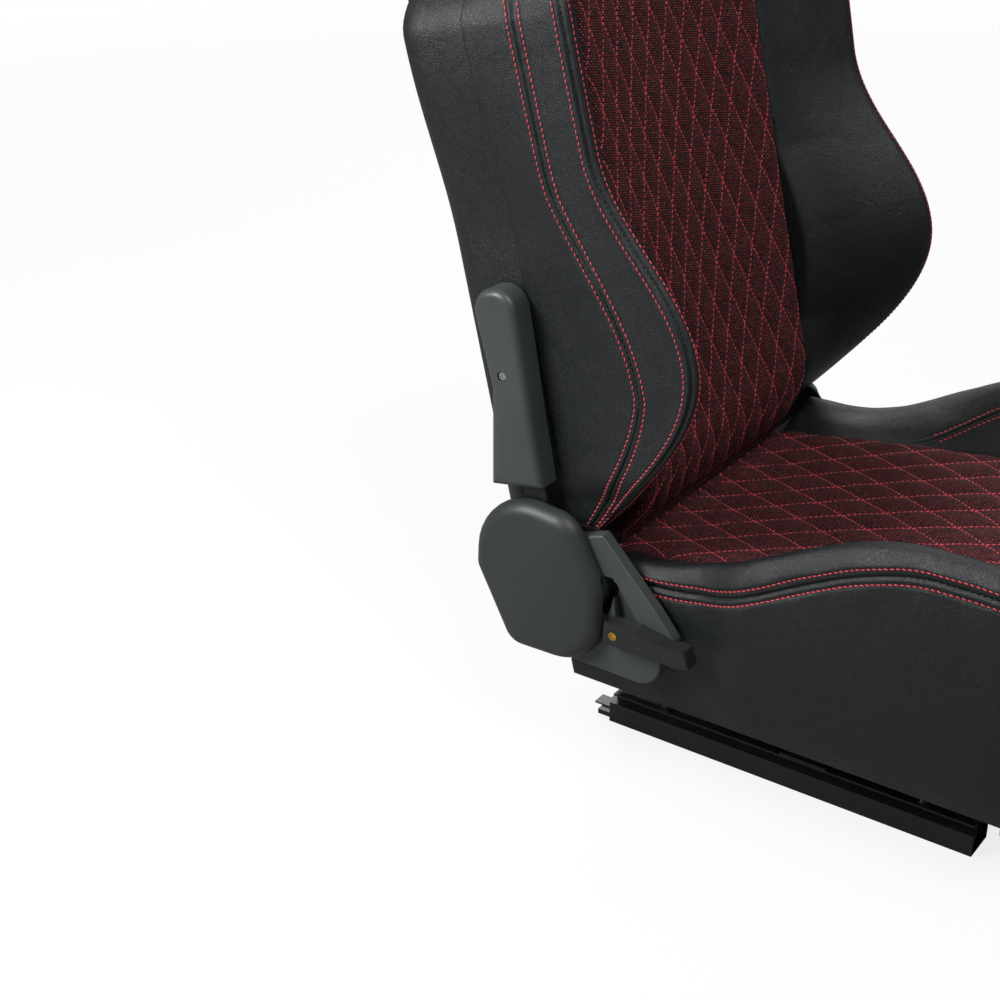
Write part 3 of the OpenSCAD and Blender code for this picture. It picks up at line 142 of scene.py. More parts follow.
# To the camera the paper is white and lit from below as well, more so far out, round a soft
# shadow. What it throws back on to the seat is greyer, so that the leather keeps its depth.
ray = add(tree, "LightPath").outputs
shade = add(tree, "Mix", {"Factor": ray["Is Camera Ray"], "A": srgb("#8c8c8c"), "B": srgb("#f2f2f1")}, data_type="RGBA")
join(tree, surface, {"Roughness": 0.9, "Base Color": shade.outputs["Result"]})
off = add(tree, "VectorMath", {0: add(tree, "TexCoord").outputs["Object"]}, operation="LENGTH")
fading = add(tree, "MapRange", {"Value": off.outputs["Value"], "From Min": 1.2, "From Max": 4.0,
                                "To Min": 0.82, "To Max": 1.0})
lit = add(tree, "Math", {0: ray["Is Camera Ray"], 1: fading}, operation="MULTIPLY")
below = add(tree, "Emission", {"Color": (1, 1, 1, 1), "Strength": 1.0})
both = add(tree, "MixShader", {0: lit, 1: surface, 2: below})
join(tree, tree.nodes["Material Output"], {"Surface": both})
floor.data.materials.append(paper)
floor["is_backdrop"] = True

# --------------------------------------------------------- base cushion
# Quilted centre panel of the base: polyurethane foam under a dark twill
# with red flecks, sewn through in diamonds with red thread, and laid on
# the wires of the base frame between the two bolsters.
base_half, base_back, base_front = 180, 221, -192
base_low, base_high, cushion_floor = 199, 238, 140.5
base_columns, base_rows = 8, 11
base_cell = (base_half / base_columns, (base_back - base_front) / base_rows)
axis_y, axis_z = 225, 205
foot_roll, foot_room = 18, 2


def ease(s, s0, s1, a, b):
    """Cosine step from a to b as s runs from s0 to s1."""
    return a + (b - a) * (1 - np.cos(np.pi * np.clip((s - s0) / (s1 - s0), 0, 1))) / 2


def rise(s, s0, s1, a, b):
    """Quarter sine from a at s0, steep, to b at s1, level."""
    return a + (b - a) * np.sin(np.pi / 2 * np.clip((s - s0) / (s1 - s0), 0, 1))


def round_drop(d, r):
    """Drop of a round of radius r at the distance d into it: r less the root of r squared less d squared."""
    return r - np.sqrt(np.maximum(0, r * r - np.clip(d, 0, r) ** 2))


def diamonds(i, r, sharp=0.62):
    """Puff of diamond quilting, from 0 on the seams to 1 in the middle: the product of two sine waves along the
    two families of seams, i + r even being where the seams cross. The power sharpens the valley at the seam."""
    a, b = np.pi * (i + r) / 2, np.pi * (i - r) / 2
    return (np.sqrt(np.sin(a) ** 2 + 0.004) * np.sqrt(np.sin(b) ** 2 + 0.004)) ** sharp


def rear_round(y):
    """Drop of the base panel's rounded rear edge, which starts 30 mm before it."""
    return round_drop(y - base_back + 30, 32)


def base_edge(y):
    """Height of the base panel at its sides: it rises to the front and rounds off at its rear edge."""
    return rise(y, 200, -160, base_low, base_high) - rear_round(y)


def quilted(edge, puffs, puff):
    """Height that the quilting adds at a distance from the panel's edge: the puff, which fades out over the last
    few millimetres, less the pull of the edge seam, which falls off by an exponential."""
    edge = np.maximum(edge, 0)
    return puff * (1 - np.exp(-edge / 7)) * puffs - 6 * np.exp(-edge / 4)


def base_puffs(x, y):
    """Puff of the base panel's diamonds, counted from its middle and its rear edge."""
    return diamonds(x / base_cell[0], (base_back - y) / base_cell[1])


def base_panel(x, y, puff=5.0):
    """Top of the base panel: its side height less a shallow dish, plus the quilting. At the rear it tucks in
    under the rolled foot of the back, clear of that roll, whose middle is the recline axis."""
    u = x / base_half
    dish = 5 * (1 - u * u) * np.clip((base_back - y) / 60, 0, 1)
    edge = np.minimum(base_half - np.abs(x), np.minimum(base_back - y, y - base_front))
    height = base_edge(y) - dish + quilted(edge, base_puffs(x, y), puff)
    clear = foot_roll + foot_room
    roll = axis_z - np.sqrt(np.maximum(0, clear ** 2 - (y - axis_y) ** 2))
    return np.where(y > axis_y - clear, np.minimum(height + rear_round(y), roll), height)


def xyz(x, y, z):
    """Points from their three coordinates, spread to one common shape."""
    return np.stack(np.broadcast_arrays(x, y, z), -1)


def grid_faces(at):
    """Four-sided faces between the neighbours of a grid of point numbers."""
    return np.stack([at[:-1, :-1], at[:-1, 1:], at[1:, 1:], at[1:, :-1]], -1).reshape(-1, 4)


def closed_piece(name, sheets, uv=None, merge=2e-5):
    """One closed mesh from sheets of points in millimetres, each a grid of rows and columns. Points that meet are
    merged, and the faces are turned outwards. uv gives a sheet's own flat coordinates, which become the map cloth,
    in metres; a sheet without any takes two slanted sums of its points' coordinates."""
    points, faces, marks = [], [], []
    start = 0
    for k, sheet in enumerate(sheets):
        rows, columns = sheet.shape[:2]
        faces.append(grid_faces(start + np.arange(rows * columns).reshape(rows, columns)))
        points.append(sheet.reshape(-1, 3))
        marks.append(np.full((rows * columns, 2), np.nan) if uv is None or uv[k] is None else uv[k].reshape(-1, 2))
        start += rows * columns
    points, faces, marks = np.concatenate(points) / 1000, np.concatenate(faces), np.concatenate(marks)
    mesh = bpy.data.meshes.new(name)
    mesh.from_pydata(points.tolist(), [], faces.tolist())
    if uv is not None:
        layer = mesh.uv_layers.new(name="cloth")
        corner = marks[faces.reshape(-1)] / 1000
        flat = points[faces.reshape(-1)] @ np.array([[1, 0], [0, 1], [0.9, 1]])
        corner = np.where(np.isnan(corner), flat, corner)
        layer.data.foreach_set("uv", corner.astype(np.float32).reshape(-1))
    work = bmesh.new()
    work.from_mesh(mesh)
    bmesh.ops.remove_doubles(work, verts=work.verts, dist=merge)
    bmesh.ops.dissolve_degenerate(work, edges=work.edges, dist=merge)
    bmesh.ops.recalc_face_normals(work, faces=work.faces)
    work.to_mesh(mesh)
    work.free()
    mesh.shade_smooth()
    return placed(name, mesh)


def between(a, b, steps):
    """Sheet ruled from the line of points a to the line b."""
    f = np.linspace(0, 1, steps + 1)[:, None, None]
    return a[None] * (1 - f) + b[None] * f


def filled(face, back, steps):
    """Sheets round a stuffed piece: its face, its back, and a ruled strip between each of their four edges."""
    edges = [(v[0], v[-1], v[:, 0], v[:, -1]) for v in (face, back)]
    return [face, back[:, ::-1]] + [between(*ends) for ends in zip(*edges, steps)]


def unit(v):
    """Vectors made 1 long."""
    return v / np.maximum(np.linalg.norm(v, axis=-1, keepdims=True), 1e-9)


def runs(line):
    """Distance along a line, or along each row of lines, at every point."""
    steps = np.linalg.norm(np.diff(line, axis=-2), axis=-1)
    return np.cumsum(np.concatenate([np.zeros_like(steps[..., :1]), steps], -1), axis=-1)


def read_line(where, run, line):
    """The points of a line at the distances where along it, run being the distances of its own points."""
    return np.stack([np.interp(where, run, line[:, c]) for c in range(3)], -1)


def stitches(name, lines, ups, body, slot, pitch=5.5, reach=2.25, thick=0.78):
    """Stitches of sewing thread along lines that lie on a cover. Each is a six-sided spindle: four rings of radius
    thick * swell between two tips, laid along the line at every pitch, turned off it by lay in radians, with the
    ends sunk into the cover by the fourth power of the distance from its middle."""
    at, swell, lay = (-0.9, -0.45, 0.45, 0.9), (0.55, 1, 1, 0.55), 0.16
    turn = np.arange(6) * np.pi / 3
    f = np.concatenate([[-1], np.repeat(at, 6), [1]])
    wide, high = (np.concatenate([[0], np.outer(swell, wave(turn)).reshape(-1), [0]]) * thick
                  for wave in (np.cos, np.sin))
    high = high * 0.8 + thick * (0.35 - 0.9 * f ** 4)
    middle, ahead, upward = [], [], []
    for line, up in zip(lines, ups):
        run = runs(line)
        count = int(run[-1] // pitch)
        if count:
            spot = (np.arange(count) + 0.5) * run[-1] / count
            middle.append(read_line(spot, run, line))
            ahead.append(read_line(spot + reach, run, line) - read_line(spot - reach, run, line))
            upward.append(read_line(spot, run, up))
    middle, ahead, upward = (np.concatenate(v) for v in (middle, ahead, upward))
    ahead = unit(ahead)
    sideways = unit(np.cross(ahead, upward))
    upward = np.cross(sideways, ahead)
    slant = ahead * np.cos(lay) + sideways * np.sin(lay)
    points = (middle[:, None] + slant[:, None] * (f * reach)[None, :, None]
              + sideways[:, None] * wide[None, :, None] + upward[:, None] * high[None, :, None])
    ring = np.arange(6)
    turned = (ring + 1) % 6
    quads = np.concatenate([np.stack([ring, turned, 6 + turned, 6 + ring], 1) + 1 + 6 * k for k in range(3)])
    tips = np.concatenate([np.stack([0 * ring, 1 + turned, 1 + ring], 1),
                           np.stack([25 + 0 * ring, 19 + ring, 19 + turned], 1)])
    shift = (np.arange(len(points)) * len(f))[:, None, None]
    mesh = bpy.data.meshes.new(name)
    mesh.from_pydata((points.reshape(-1, 3) / 1000).tolist(), [],
                     (quads + shift).reshape(-1, 4).tolist() + (tips + shift).reshape(-1, 3).tolist())
    mesh.shade_smooth()
    piece = placed(name, mesh)
    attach(piece, body)
    return piece


def quilt_lines(cell, columns, rows, surface, toward, step=0.02):
    """Both families of quilting lines of a panel with columns cells on each side of its middle. Along a line the
    row r grows while the distance across, in cells, is m + r or its opposite, m even. surface gives the points
    for the distance across and r, and the normals are the cross product of its two small differences."""
    lines, ups = [], []
    for sign in (-1, 1):
        for m in range(-((columns + rows + 1) // 2) * 2, columns + 1, 2):
            r = np.arange(max(0, -columns - m), min(rows, columns - m) + step / 2, step)
            if len(r) > 8:
                across = sign * (m + r) * cell
                here = surface(across, r)
                up = np.cross(surface(across + 0.5, r) - here, surface(across, r + 0.01) - here)
                up *= np.sign(up @ np.asarray(toward, float))[:, None]
                lines.append(here)
                ups.append(unit(up))
    return lines, ups


def blown(surface, seams, half, low, high, grid=4.0, cap=1.5):
    """Rise of a quilted cover under air pressure, as a function of the distance across and along. A sheet of the
    panel, cut 2% larger than the panel, is held along its edges and wherever the puff is under held_puff, and
    blown up for 20 frames of cloth simulation. The rise is capped, faded out towards edges and seams, and read
    back by linear interpolation."""
    held_edge, held_puff, frames = 9, 0.22, 20
    across, along = (np.linspace(a, b, int((b - a) / grid) + 1) for a, b in ((-half, half), (low, high)))
    x, v = np.meshgrid(across, along)
    z, puffs = surface(x, v), seams(x, v)
    edge = np.minimum(half - np.abs(x), np.minimum(v - low, high - v))
    at = np.arange(x.size).reshape(x.shape)
    mesh = bpy.data.meshes.new("sheet")
    mesh.from_pydata((xyz(x, v, z).reshape(-1, 3) / 1000).tolist(), [], grid_faces(at).tolist())
    sheet = placed("sheet", mesh)
    sheet.vertex_groups.new(name="held").add(at[(edge < held_edge) | (puffs < held_puff)].tolist(), 1.0, "REPLACE")
    cloth = sheet.modifiers.new("cloth", "CLOTH").settings
    cloth.vertex_group_mass, cloth.bending_stiffness, cloth.shrink_min = "held", 0.3, -0.02
    cloth.use_pressure, cloth.uniform_pressure_force, cloth.effector_weights.gravity = True, 4, 0
    for number in range(1, frames + 1):
        scene.frame_set(number)
    done = sheet.evaluated_get(bpy.context.evaluated_depsgraph_get()).to_mesh()
    place = np.empty(x.size * 3, np.float32)
    done.vertices.foreach_get("co", place)
    gain = np.clip(place.reshape(*x.shape, 3)[..., 2] * 1000 - z, -cap, cap)
    gain = gain * np.clip((edge - held_edge) / 15, 0, 1) * np.clip((puffs - held_puff) / 0.3, 0, 1)
    scene.frame_set(1)
    bpy.data.objects.remove(sheet)

    def read(x, v):
        """Rise at any place of the panel, between the four nearest points of the grid."""
        i = np.clip((x + half) / (across[1] - across[0]), 0, len(across) - 1.001)
        j = np.clip((v - low) / (along[1] - along[0]), 0, len(along) - 1.001)
        a, b, f, g = i.astype(int), j.astype(int), i % 1, j % 1
        return ((gain[b, a] * (1 - f) + gain[b, a + 1] * f) * (1 - g)
                + (gain[b + 1, a] * (1 - f) + gain[b + 1, a + 1] * f) * g)
    return read


across = np.linspace(-base_half, base_half, 2 * base_columns * 14 + 1)
along = np.linspace(base_back, base_front, base_rows * 20 + 1)
x, y = np.meshgrid(across, along)
air = blown(base_panel, base_puffs, base_half, base_front, base_back)
top = xyz(x, y, base_panel(x, y) + air(x, y))
under = xyz(x * 0.994, y, cushion_floor)
base_cushion = closed_piece("base_cushion_cover", filled(top, under, (8, 8, 8, 8)),
                            uv=[np.stack([x, y], -1)] + [None] * 5)
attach(base_cushion, "carriage")
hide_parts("base_cushion")


def on_base(across, r):
    """Points of the base panel, from the distance across and the row of quilting."""
    y = base_back - r * base_cell[1]
    return xyz(across, y, base_panel(across, y))


quilting = quilt_lines(base_cell[0], base_columns, base_rows, on_base, (0, 0, 1))
threads = [stitches("base_quilting_stitches", *quilting, "carriage", "fabric")]

# --------------------------------------------------------- base bolsters
# Firm side bolsters of the base: foam under grained synthetic leather. An
# outer double seam with a groove between its rows runs along the side,
# and a band on top is joined to the inner panel by another.
nose, foam_floor, skirt_low, skirt_half = -262, 138, 73, 232
seam_zone, row_off, dense = 13, 8, 40


def mix(a, b, f):
    """The value the share f of the way from a to b."""
    return a + (b - a) * f


def through(net, at):
    """Smooth line through the control points of each row of net, read at the fractional places at: every point is
    the sum of its four neighbours, weighted by the cardinal spline's four cubics."""
    last = net.shape[1] - 1
    k = np.clip(np.floor(at).astype(int), 0, last - 1)
    f = (at - k)[None, :, None]
    q = [net[:, np.clip(k + j, 0, last)] for j in (-1, 0, 1, 2)]
    return ((-f + 2 * f ** 2 - f ** 3) * q[0] + (2 - 5 * f ** 2 + 3 * f ** 3) * q[1]
            + (f + 4 * f ** 2 - 3 * f ** 3) * q[2] + (-f ** 2 + f ** 3) * q[3]) / 2


def spaced(line, stops, counts):
    """Each row of line, cut at the stops, which are distances along it, and filled with evenly spaced points
    between one stop and the next."""
    stops = np.maximum.accumulate(stops, axis=1)
    places = np.concatenate([stops[:, j:j + 1] + (stops[:, j + 1:j + 2] - stops[:, j:j + 1])
                             * np.linspace(0, 1, n + 1)[None, (1 if j else 0):] for j, n in enumerate(counts)], 1)
    return np.stack([read_line(*row) for row in zip(places, runs(line), line)]), places


def run_at(line, knot):
    """Distance along each row of line to its control point number knot, dense points after the one before."""
    return runs(line)[:, knot * dense:knot * dense + 1]


def normals(sheet):
    """Unit normal at each point of a grid: the cross product of its two directions."""
    return unit(np.cross(np.gradient(sheet, axis=1), np.gradient(sheet, axis=0)))


def row_at(sheet, places, where):
    """The point of each row of a sheet at the distance where along it."""
    return np.stack([read_line(*row) for row in zip(where[:, 0], places, sheet)])


def sewn_rows(outside, places, rows):
    """Lines of stitches on a sheet and the outward normals there: each row is a distance along the sheet's rows and
    a mask of the rows that it crosses."""
    out = -normals(outside)
    lines, ups = [], []
    for where, live in rows:
        keep = np.flatnonzero(live.reshape(-1))
        for part in np.split(keep, np.flatnonzero(np.diff(keep) > 1) + 1):
            if len(part) > 3:
                lines.append(row_at(outside[part], places[part], where[part]))
                ups.append(row_at(out[part], places[part], where[part]))
    return lines, ups


def double_seam(distance, spread=8.0, depth=3.0):
    """Depth of a double seam at a distance from its middle: a narrow groove where the panels join, two shallow
    valleys under the rows of stitches, and the slight swell of the folded allowance between them."""
    off = np.abs(distance)
    return depth * (0.22 * np.exp(-((off - spread / 2) / 2.8) ** 2) - np.exp(-(off / 1.5) ** 2)
                    - 0.35 * np.exp(-((off - spread) / 2.0) ** 2))


def rear_fall(y, z):
    """Fall of a bolster's rear end, as a quarter round with a short sloping foot, clear of the turning back."""
    d, low = base_back - y, base_low - 9
    turn = low + (z - low) * np.sqrt(np.maximum(0, 1 - ((28 - np.clip(d, 12, 28)) / 16.1) ** 2))
    return np.where(d >= 28, z, np.where(d > 12, turn, low - 6 + d / 2))


def base_bolster_rings(y):
    """Outside line of the bolster at each y, from the skirt's hem up the side, over the seam and the crest and
    down the inner face to the panel, and the line of its underside, both as control points."""
    drop = round_drop(nose + 54 - y, 55)
    seam = ease(y, 82, 20, 245.5, 258) - drop * 0.3
    crest_z = rear_fall(y, ease(y, 165, -155, 224, 330) - drop)
    seam_z = np.minimum(ease(y, 120, -165, 209, 309) - drop * 0.8, crest_z - 6)
    crest, edge_z = seam - 14, base_edge(y) - 3
    low = np.minimum(skirt_half, seam - 8)
    inner = np.full_like(y, base_half + 0.4)
    floor_z = np.where(y < nose + 23.5, skirt_low + 2, foam_floor)
    front = [(low, skirt_low), (mix(low, seam, 0.6), skirt_low + 32), (mix(low, seam, 0.95), foam_floor + 30),
             (seam - 1, mix(foam_floor + 30, seam_z, 0.75)), (seam - 3, seam_z),
             (seam - 2, mix(seam_z, crest_z, 0.45)), (crest, crest_z), (crest - 16, crest_z - 5),
             (mix(crest, inner, 0.62), mix(crest_z, edge_z, 0.5)),
             (mix(crest, inner, 0.86), mix(crest_z, edge_z, 0.82)), (inner, edge_z)]
    rear = [(low - 6, skirt_low), (mix(low, seam, 0.6) - 7, np.minimum(floor_z, skirt_low + 32)),
            (mix(low, seam, 0.9) - 9, floor_z - 1), (seam - 16, floor_z), (seam - 34, floor_z), (inner, floor_z)]
    return [np.stack([xyz(px, y, pz) for px, pz in knots], 1) for knots in (front, rear)]


y = np.concatenate([nose + np.array([2, 4, 7, 10, 14, 18]), np.linspace(nose + 23, base_back - 31, 104),
                    base_back - np.array([28, 26, 24, 22, 20, 18, 16, 14, 13, 12, 9, 5, 2.0])])
front, rear = base_bolster_rings(y)
line = through(front, np.linspace(0, 10, 10 * dense + 1))
total, seam_run, crest_run = (run_at(line, knot) for knot in (10, 4, 6))
seam_half = np.minimum(seam_zone, 0.45 * (crest_run - seam_run))
inner_run = crest_run + (total - crest_run) * ease(y, 75, -60, 1.05, 0.44)[:, None]
sheet, places = spaced(line, np.concatenate([
    np.zeros_like(total), seam_run - seam_zone, seam_run + seam_half, np.minimum(inner_run - 10, total - 4),
    np.minimum(inner_run + 10, total - 1), total], 1), (34, 20, 16, 16, 8))
# The outer seam is narrower above its middle where the crest is near, and the inner one ends
# where it meets the panel. Slight waves run along the outer seam, where thread gathers leather.
above = np.where(places > seam_run, seam_half, seam_zone)
groove = double_seam((places - seam_run) * seam_zone / above, row_off, 2.4)
groove = groove + double_seam(places - inner_run, 6, 2.2) * np.clip((total - inner_run) / 12, 0, 1)
wave = (0.9 * np.sin(y / 21)[:, None] * np.exp(-((places - seam_run) / 26) ** 2)
        + 0.5 * np.sin(y / 9 + 1)[:, None] * np.exp(-((np.abs(places - seam_run) - 9) / 6) ** 2))
outside = sheet + normals(sheet) * -(groove + wave)[..., None]
under = through(rear, np.linspace(0, 5, outside.shape[1]))
leather_pieces, seam_shade_threads = [], []


def both_sides(outside, under, red, black, body, cover, node, seam, row):
    """A bolster on each side of the seat, closed from its outer sheet and its underside, and then its dark stitches in
    the seams, which are painted shade for the stitch holes, and its red ones beside them. The right one is the mirror
    image of the left."""
    sides = [(side, np.array([flip, 1, 1])) for side, flip in (("right", -1), ("left", 1))]
    for side, turned in sides:
        piece = closed_piece(cover + side, [sheet * turned for sheet in filled(outside, under, (12, 12, 3, 4))])
        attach(piece, body)
        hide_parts(node + side)
        leather_pieces.append(piece)
    for side, turned in sides:
        seam_shade_lines, red_lines = ([[v * turned for v in part] for part in rows] for rows in (black, red))
        seam_shade_threads.append(stitches(seam + side, *seam_shade_lines, body, "leather", thick=0.6))
        threads.append(stitches(row + side, *red_lines, body, "leather"))


sewn = (base_back - y > 13)[:, None] & (y > nose + 9)[:, None]
red = sewn_rows(outside, places, [
    (seam_run - row_off, sewn), (seam_run + row_off * seam_half / seam_zone, sewn),
    (inner_run - 6, sewn & (total - inner_run > 9)), (inner_run + 6, sewn & (total - inner_run > 12))])
# The dark rows in the middles of the seams are painted shade for the stitch holes there
black = sewn_rows(outside, places, [(seam_run, sewn)])
both_sides(outside, under, red, black, "carriage", "base_bolster_cover_", "base_bolster_", "base_bolster_seam_shade_",
           "base_bolster_stitches_")

# -------------------------------------------------------- base front roll
# Leather roll across the front edge of the base, between the bolsters,
# with an apron that hangs in front of the frame.
u = np.linspace(-1, 1, 121)
full = 1 - u * u
top_y = base_front - 0.4
top_z = float(base_edge(np.array(float(base_front))))
profile = [(top_y + 0 * u, top_z - 8 - 5 * full), (top_y - 14, top_z - 5 * full + 1),
           (top_y + (nose - top_y) * 0.62, top_z - 8 - 5 * full), (nose + 7, top_z - 32),
           (nose + 1 - 3 * full, top_z - 72), (nose + 2 - 3 * full, foam_floor + 12), (nose + 6, 96),
           (nose + 10, skirt_low + 2)]
back_line = [(top_y, foam_floor), (top_y - 16, foam_floor), (top_y - 32, foam_floor), (nose + 18, foam_floor - 2),
             (nose + 15, 96), (nose + 17, skirt_low + 2)]
roll, roll_back = (through(np.stack([xyz(u * base_half, py, pz) for py, pz in knots], 1),
                           np.linspace(0, len(knots) - 1, 7 * 16 + 1)) for knots in (profile, back_line))
front_roll = closed_piece("base_front_roll_cover", filled(roll, roll_back, (6, 6, 4, 3)))
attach(front_roll, "carriage")
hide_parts("base_front_roll")
leather_pieces.append(front_roll)

# --------------------------------------------------------- back cushion
# Quilted centre panel of the back, like the base's, on the wires of the
# back frame. It is hollowed for the shoulders and curls under at its foot.
lean = radians(13.5)
back_half, back_len, back_reach, back_foot, cushion_rear = 165, 536, 75, -4, -9
back_columns, back_rows = 10, 14
back_cell = (back_half / back_columns, (back_len - back_foot) / back_rows)


def leaned(x, t, s):
    """Points of the back, from across, out of the panel and up it, to the seat's own axes: turned by the lean
    about the recline axis."""
    return xyz(x, axis_y + s * np.sin(lean) - t * np.cos(lean), axis_z + s * np.cos(lean) + t * np.sin(lean))


def curl(s):
    """How far the back panel curls in towards its foot: a parabola."""
    return 0.0065 * np.maximum(0, 90 - s) ** 2


def back_puffs(x, s):
    """Puff of the back panel's diamonds, counted from its middle and its foot."""
    return diamonds(x / back_cell[0], (s - back_foot) / back_cell[1])


def back_panel(x, s, puff=5.0):
    """How far the back panel stands out: its reach, less the curl at the foot and the hollow across, plus the
    quilting."""
    u = x / back_half
    hollow = 20 * (1 - u * u) * np.clip((s - back_foot) / 90, 0, 1)
    edge = np.minimum(back_half - np.abs(x), np.minimum(s - back_foot, back_len - s))
    return back_reach - curl(s) - hollow + quilted(edge, back_puffs(x, s), puff)


def on_back(across, r):
    """Points of the back panel, from the distance across and the row of quilting."""
    s = back_foot + r * back_cell[1]
    return leaned(across, back_panel(across, s), s)


across = np.linspace(-back_half, back_half, 2 * back_columns * 10 + 1)
up = np.concatenate([np.linspace(back_foot - 13, back_foot, 9)[:-1],
                     np.linspace(back_foot, back_len, back_rows * 20 + 1)])
x, s = np.meshgrid(across, up)
foot = np.sqrt(np.maximum(0, foot_roll ** 2 - np.minimum(s, 0) ** 2))
air = blown(back_panel, back_puffs, back_half, back_foot, back_len)
reach = np.where(s < back_foot, foot, np.maximum(back_panel(x, np.maximum(s, back_foot)), foot * (s < 6))
                 + air(x, np.maximum(s, back_foot)))
face = leaned(x, reach, s)
behind = leaned(x * 0.994, np.maximum(cushion_rear, -foot), s)
back_cushion = closed_piece("back_cushion_cover", filled(face, behind, (8, 8, 8, 8)),
                            uv=[np.stack([x, s], -1)] + [None] * 5)
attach(back_cushion, "backrest")
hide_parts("back_cushion")
quilting = quilt_lines(back_cell[0], back_columns, back_rows, on_back, (0, -1, 0.2))
threads.append(stitches("back_quilting_stitches", *quilting, "backrest", "fabric"))

# ------------------------------------------------------------ back wings
# Deep side wings of the back: foam under leather, with one double seam on
# the outer face and another along the front edge.
hip_half, shoulder_half, shoulder_s, head_half, head_s, back_top = 245.5, 264, 520, 148, 690, 738
top_s, wing_foot, wing_rear = 598, 16, 13.4


def side_half(s):
    """Half width of the back at its sides: hips, shoulders, and in to the head above the belt openings."""
    low = ease(s, 320, shoulder_s, hip_half - 0.5, shoulder_half)
    high = ease(s, shoulder_s, top_s + 40, shoulder_half, head_half)
    return np.where(s < shoulder_s, low, np.where(
        s < top_s + 40, high, head_half - round_drop(s - head_s + 10, back_top - head_s + 12) * 1.5))


def wing_reach(s):
    """How far the wing's crest stands out: highest at the hips, less at the waist, and rounded off at the top."""
    grow = rise(s, wing_foot, 205, 20, 198)
    fall = ease(s, 205, 400, 198, 133)
    high = 133 - round_drop(s - shoulder_s, 91) * 1.15
    foot = 20 - 5.2 * (wing_foot - s) / 24
    return np.where(s < wing_foot, foot, np.where(s < 205, grow, np.where(s < 400, fall, high)))


def wing_rings(s):
    """Outside line of the wing at each height, from its rear edge over the outer seam and the crest to the back
    panel, and its flat rear line."""
    outer = side_half(s) - 0.5
    wide = ease(s, 50, 100, outer, np.minimum(262 + np.maximum(0, side_half(s) - hip_half) * 0.3, outer + 17))
    waist = np.maximum(wide - 5, outer)
    inner = np.where(s > back_len, head_half + 6.0, back_half + 0.4)
    reach = wing_reach(s)
    deep = reach - wing_rear
    seam = np.where(s < 180, rise(np.maximum(s, wing_foot), wing_foot, 180, 19, 129),
                    np.maximum(40, ease(s, 180, 420, 129, 68) - round_drop(s - shoulder_s, 110) * 0.35))
    seam = np.maximum(wing_rear + 0.5 * deep, np.minimum(seam, reach - 0.35 * deep))
    gap = np.minimum(4, 0.12 * deep)
    panel = np.maximum(wing_rear + 0.4 * deep, np.minimum(back_reach - 3 - curl(s), reach - 3))
    low = wing_rear + np.minimum(2, 0.2 * deep)
    front = [(outer, low), (mix(outer, waist, 0.45), mix(low, seam - gap, 0.5)), (waist, seam - gap), (waist, seam),
             (waist + np.minimum(1.5, wide - outer), seam + gap),
             (mix(waist, wide, 0.7), mix(seam + gap, reach, 0.6)),
             (wide, reach - np.minimum(9, 0.16 * deep)), (wide - 8, reach - np.minimum(1, 0.05 * deep)),
             (wide - 22, mix(reach, panel, 0.14)), (mix(wide, inner, 0.55), mix(reach, panel, 0.5)),
             (mix(wide, inner, 0.8), mix(reach, panel, 0.82)), (inner, panel)]
    return (np.stack([leaned(px, pt, s) for px, pt in front], 1),
            np.stack([leaned(mix(outer - 2, inner, f), wing_rear, s) for f in np.linspace(0, 1, 6)], 1))


s = np.concatenate([np.linspace(-8, 16, 13)[:-1], np.linspace(16, top_s + 10, 150)])
front, rear = wing_rings(s)
line = through(front, np.linspace(0, 11, 11 * dense + 1))
total, seam_run, crest_run = (run_at(line, knot) for knot in (11, 3, 7))
lip = np.minimum(10, 0.3 * (crest_run - seam_run))
seam_half = np.minimum(seam_zone, 0.4 * (crest_run - seam_run))
lip_run = crest_run - lip * 0.95
sheet, places = spaced(line, np.concatenate([
    np.zeros_like(total), np.maximum(seam_run - seam_zone, 0.3 * seam_run), seam_run + seam_half, lip_run - lip,
    lip_run + lip, total - 6, total], 1), (20, 20, 16, 20, 26, 4))
# Both seams fade out where the wing runs out to nothing at its foot and top
strength = np.clip(seam_half / seam_zone, 0, 1)
groove = double_seam((places - seam_run) / np.maximum(strength, 0.05), row_off, 2.4) * strength
groove = groove + double_seam((places - lip_run) / np.maximum(lip / 10, 0.05), 8.5, 2.0) * strength
groove = groove - 3 * np.exp(-np.maximum(total - places, 0) / 4) * strength
outside = sheet + normals(sheet) * -groove[..., None]
under = through(rear, np.linspace(0, 5, outside.shape[1]))
sewn = strength > 0.45
red = sewn_rows(outside, places, [
    (seam_run - row_off * strength, sewn), (seam_run + row_off * strength, sewn),
    (lip_run - 0.85 * lip, sewn), (lip_run + 0.85 * lip, sewn)])
# The dark rows in the middles of the seams are painted shade for the stitch holes there
black = sewn_rows(outside, places, [(seam_run, sewn), (lip_run, sewn)])
both_sides(outside, under, red, black, "backrest", "back_wing_cover_", "back_wing_", "back_wing_seam_shade_",
           "back_wing_stitches_")

# -------------------------------------------------------------- head pad
# Pad of the head section, foam under leather, with a neck that runs down
# between the two belt openings.
neck_half, head_reach = 59, 78
s = np.concatenate([np.linspace(back_len + 2, top_s - 3, 28), np.linspace(top_s - 1, top_s + 16, 12),
                    np.linspace(top_s + 19, head_s, 26), np.linspace(head_s + 2, back_top - 3, 34)])
half = np.where(s < top_s, neck_half - 2, np.minimum(head_half, side_half(s)) - 3)
half = np.where(s < top_s - 4, neck_half - 2, np.minimum(half, neck_half - 2 + (head_half - neck_half) * np.sqrt(
    np.clip((s - top_s + 4) / 20, 0, 1))))
reach = (head_reach - 16 * (1 - ease(s, top_s - 14, top_s + 22, 0, 1))
         - round_drop(s - head_s, back_top - head_s + 4) * 0.9)
u = np.linspace(-1, 1, 97)[None, :]
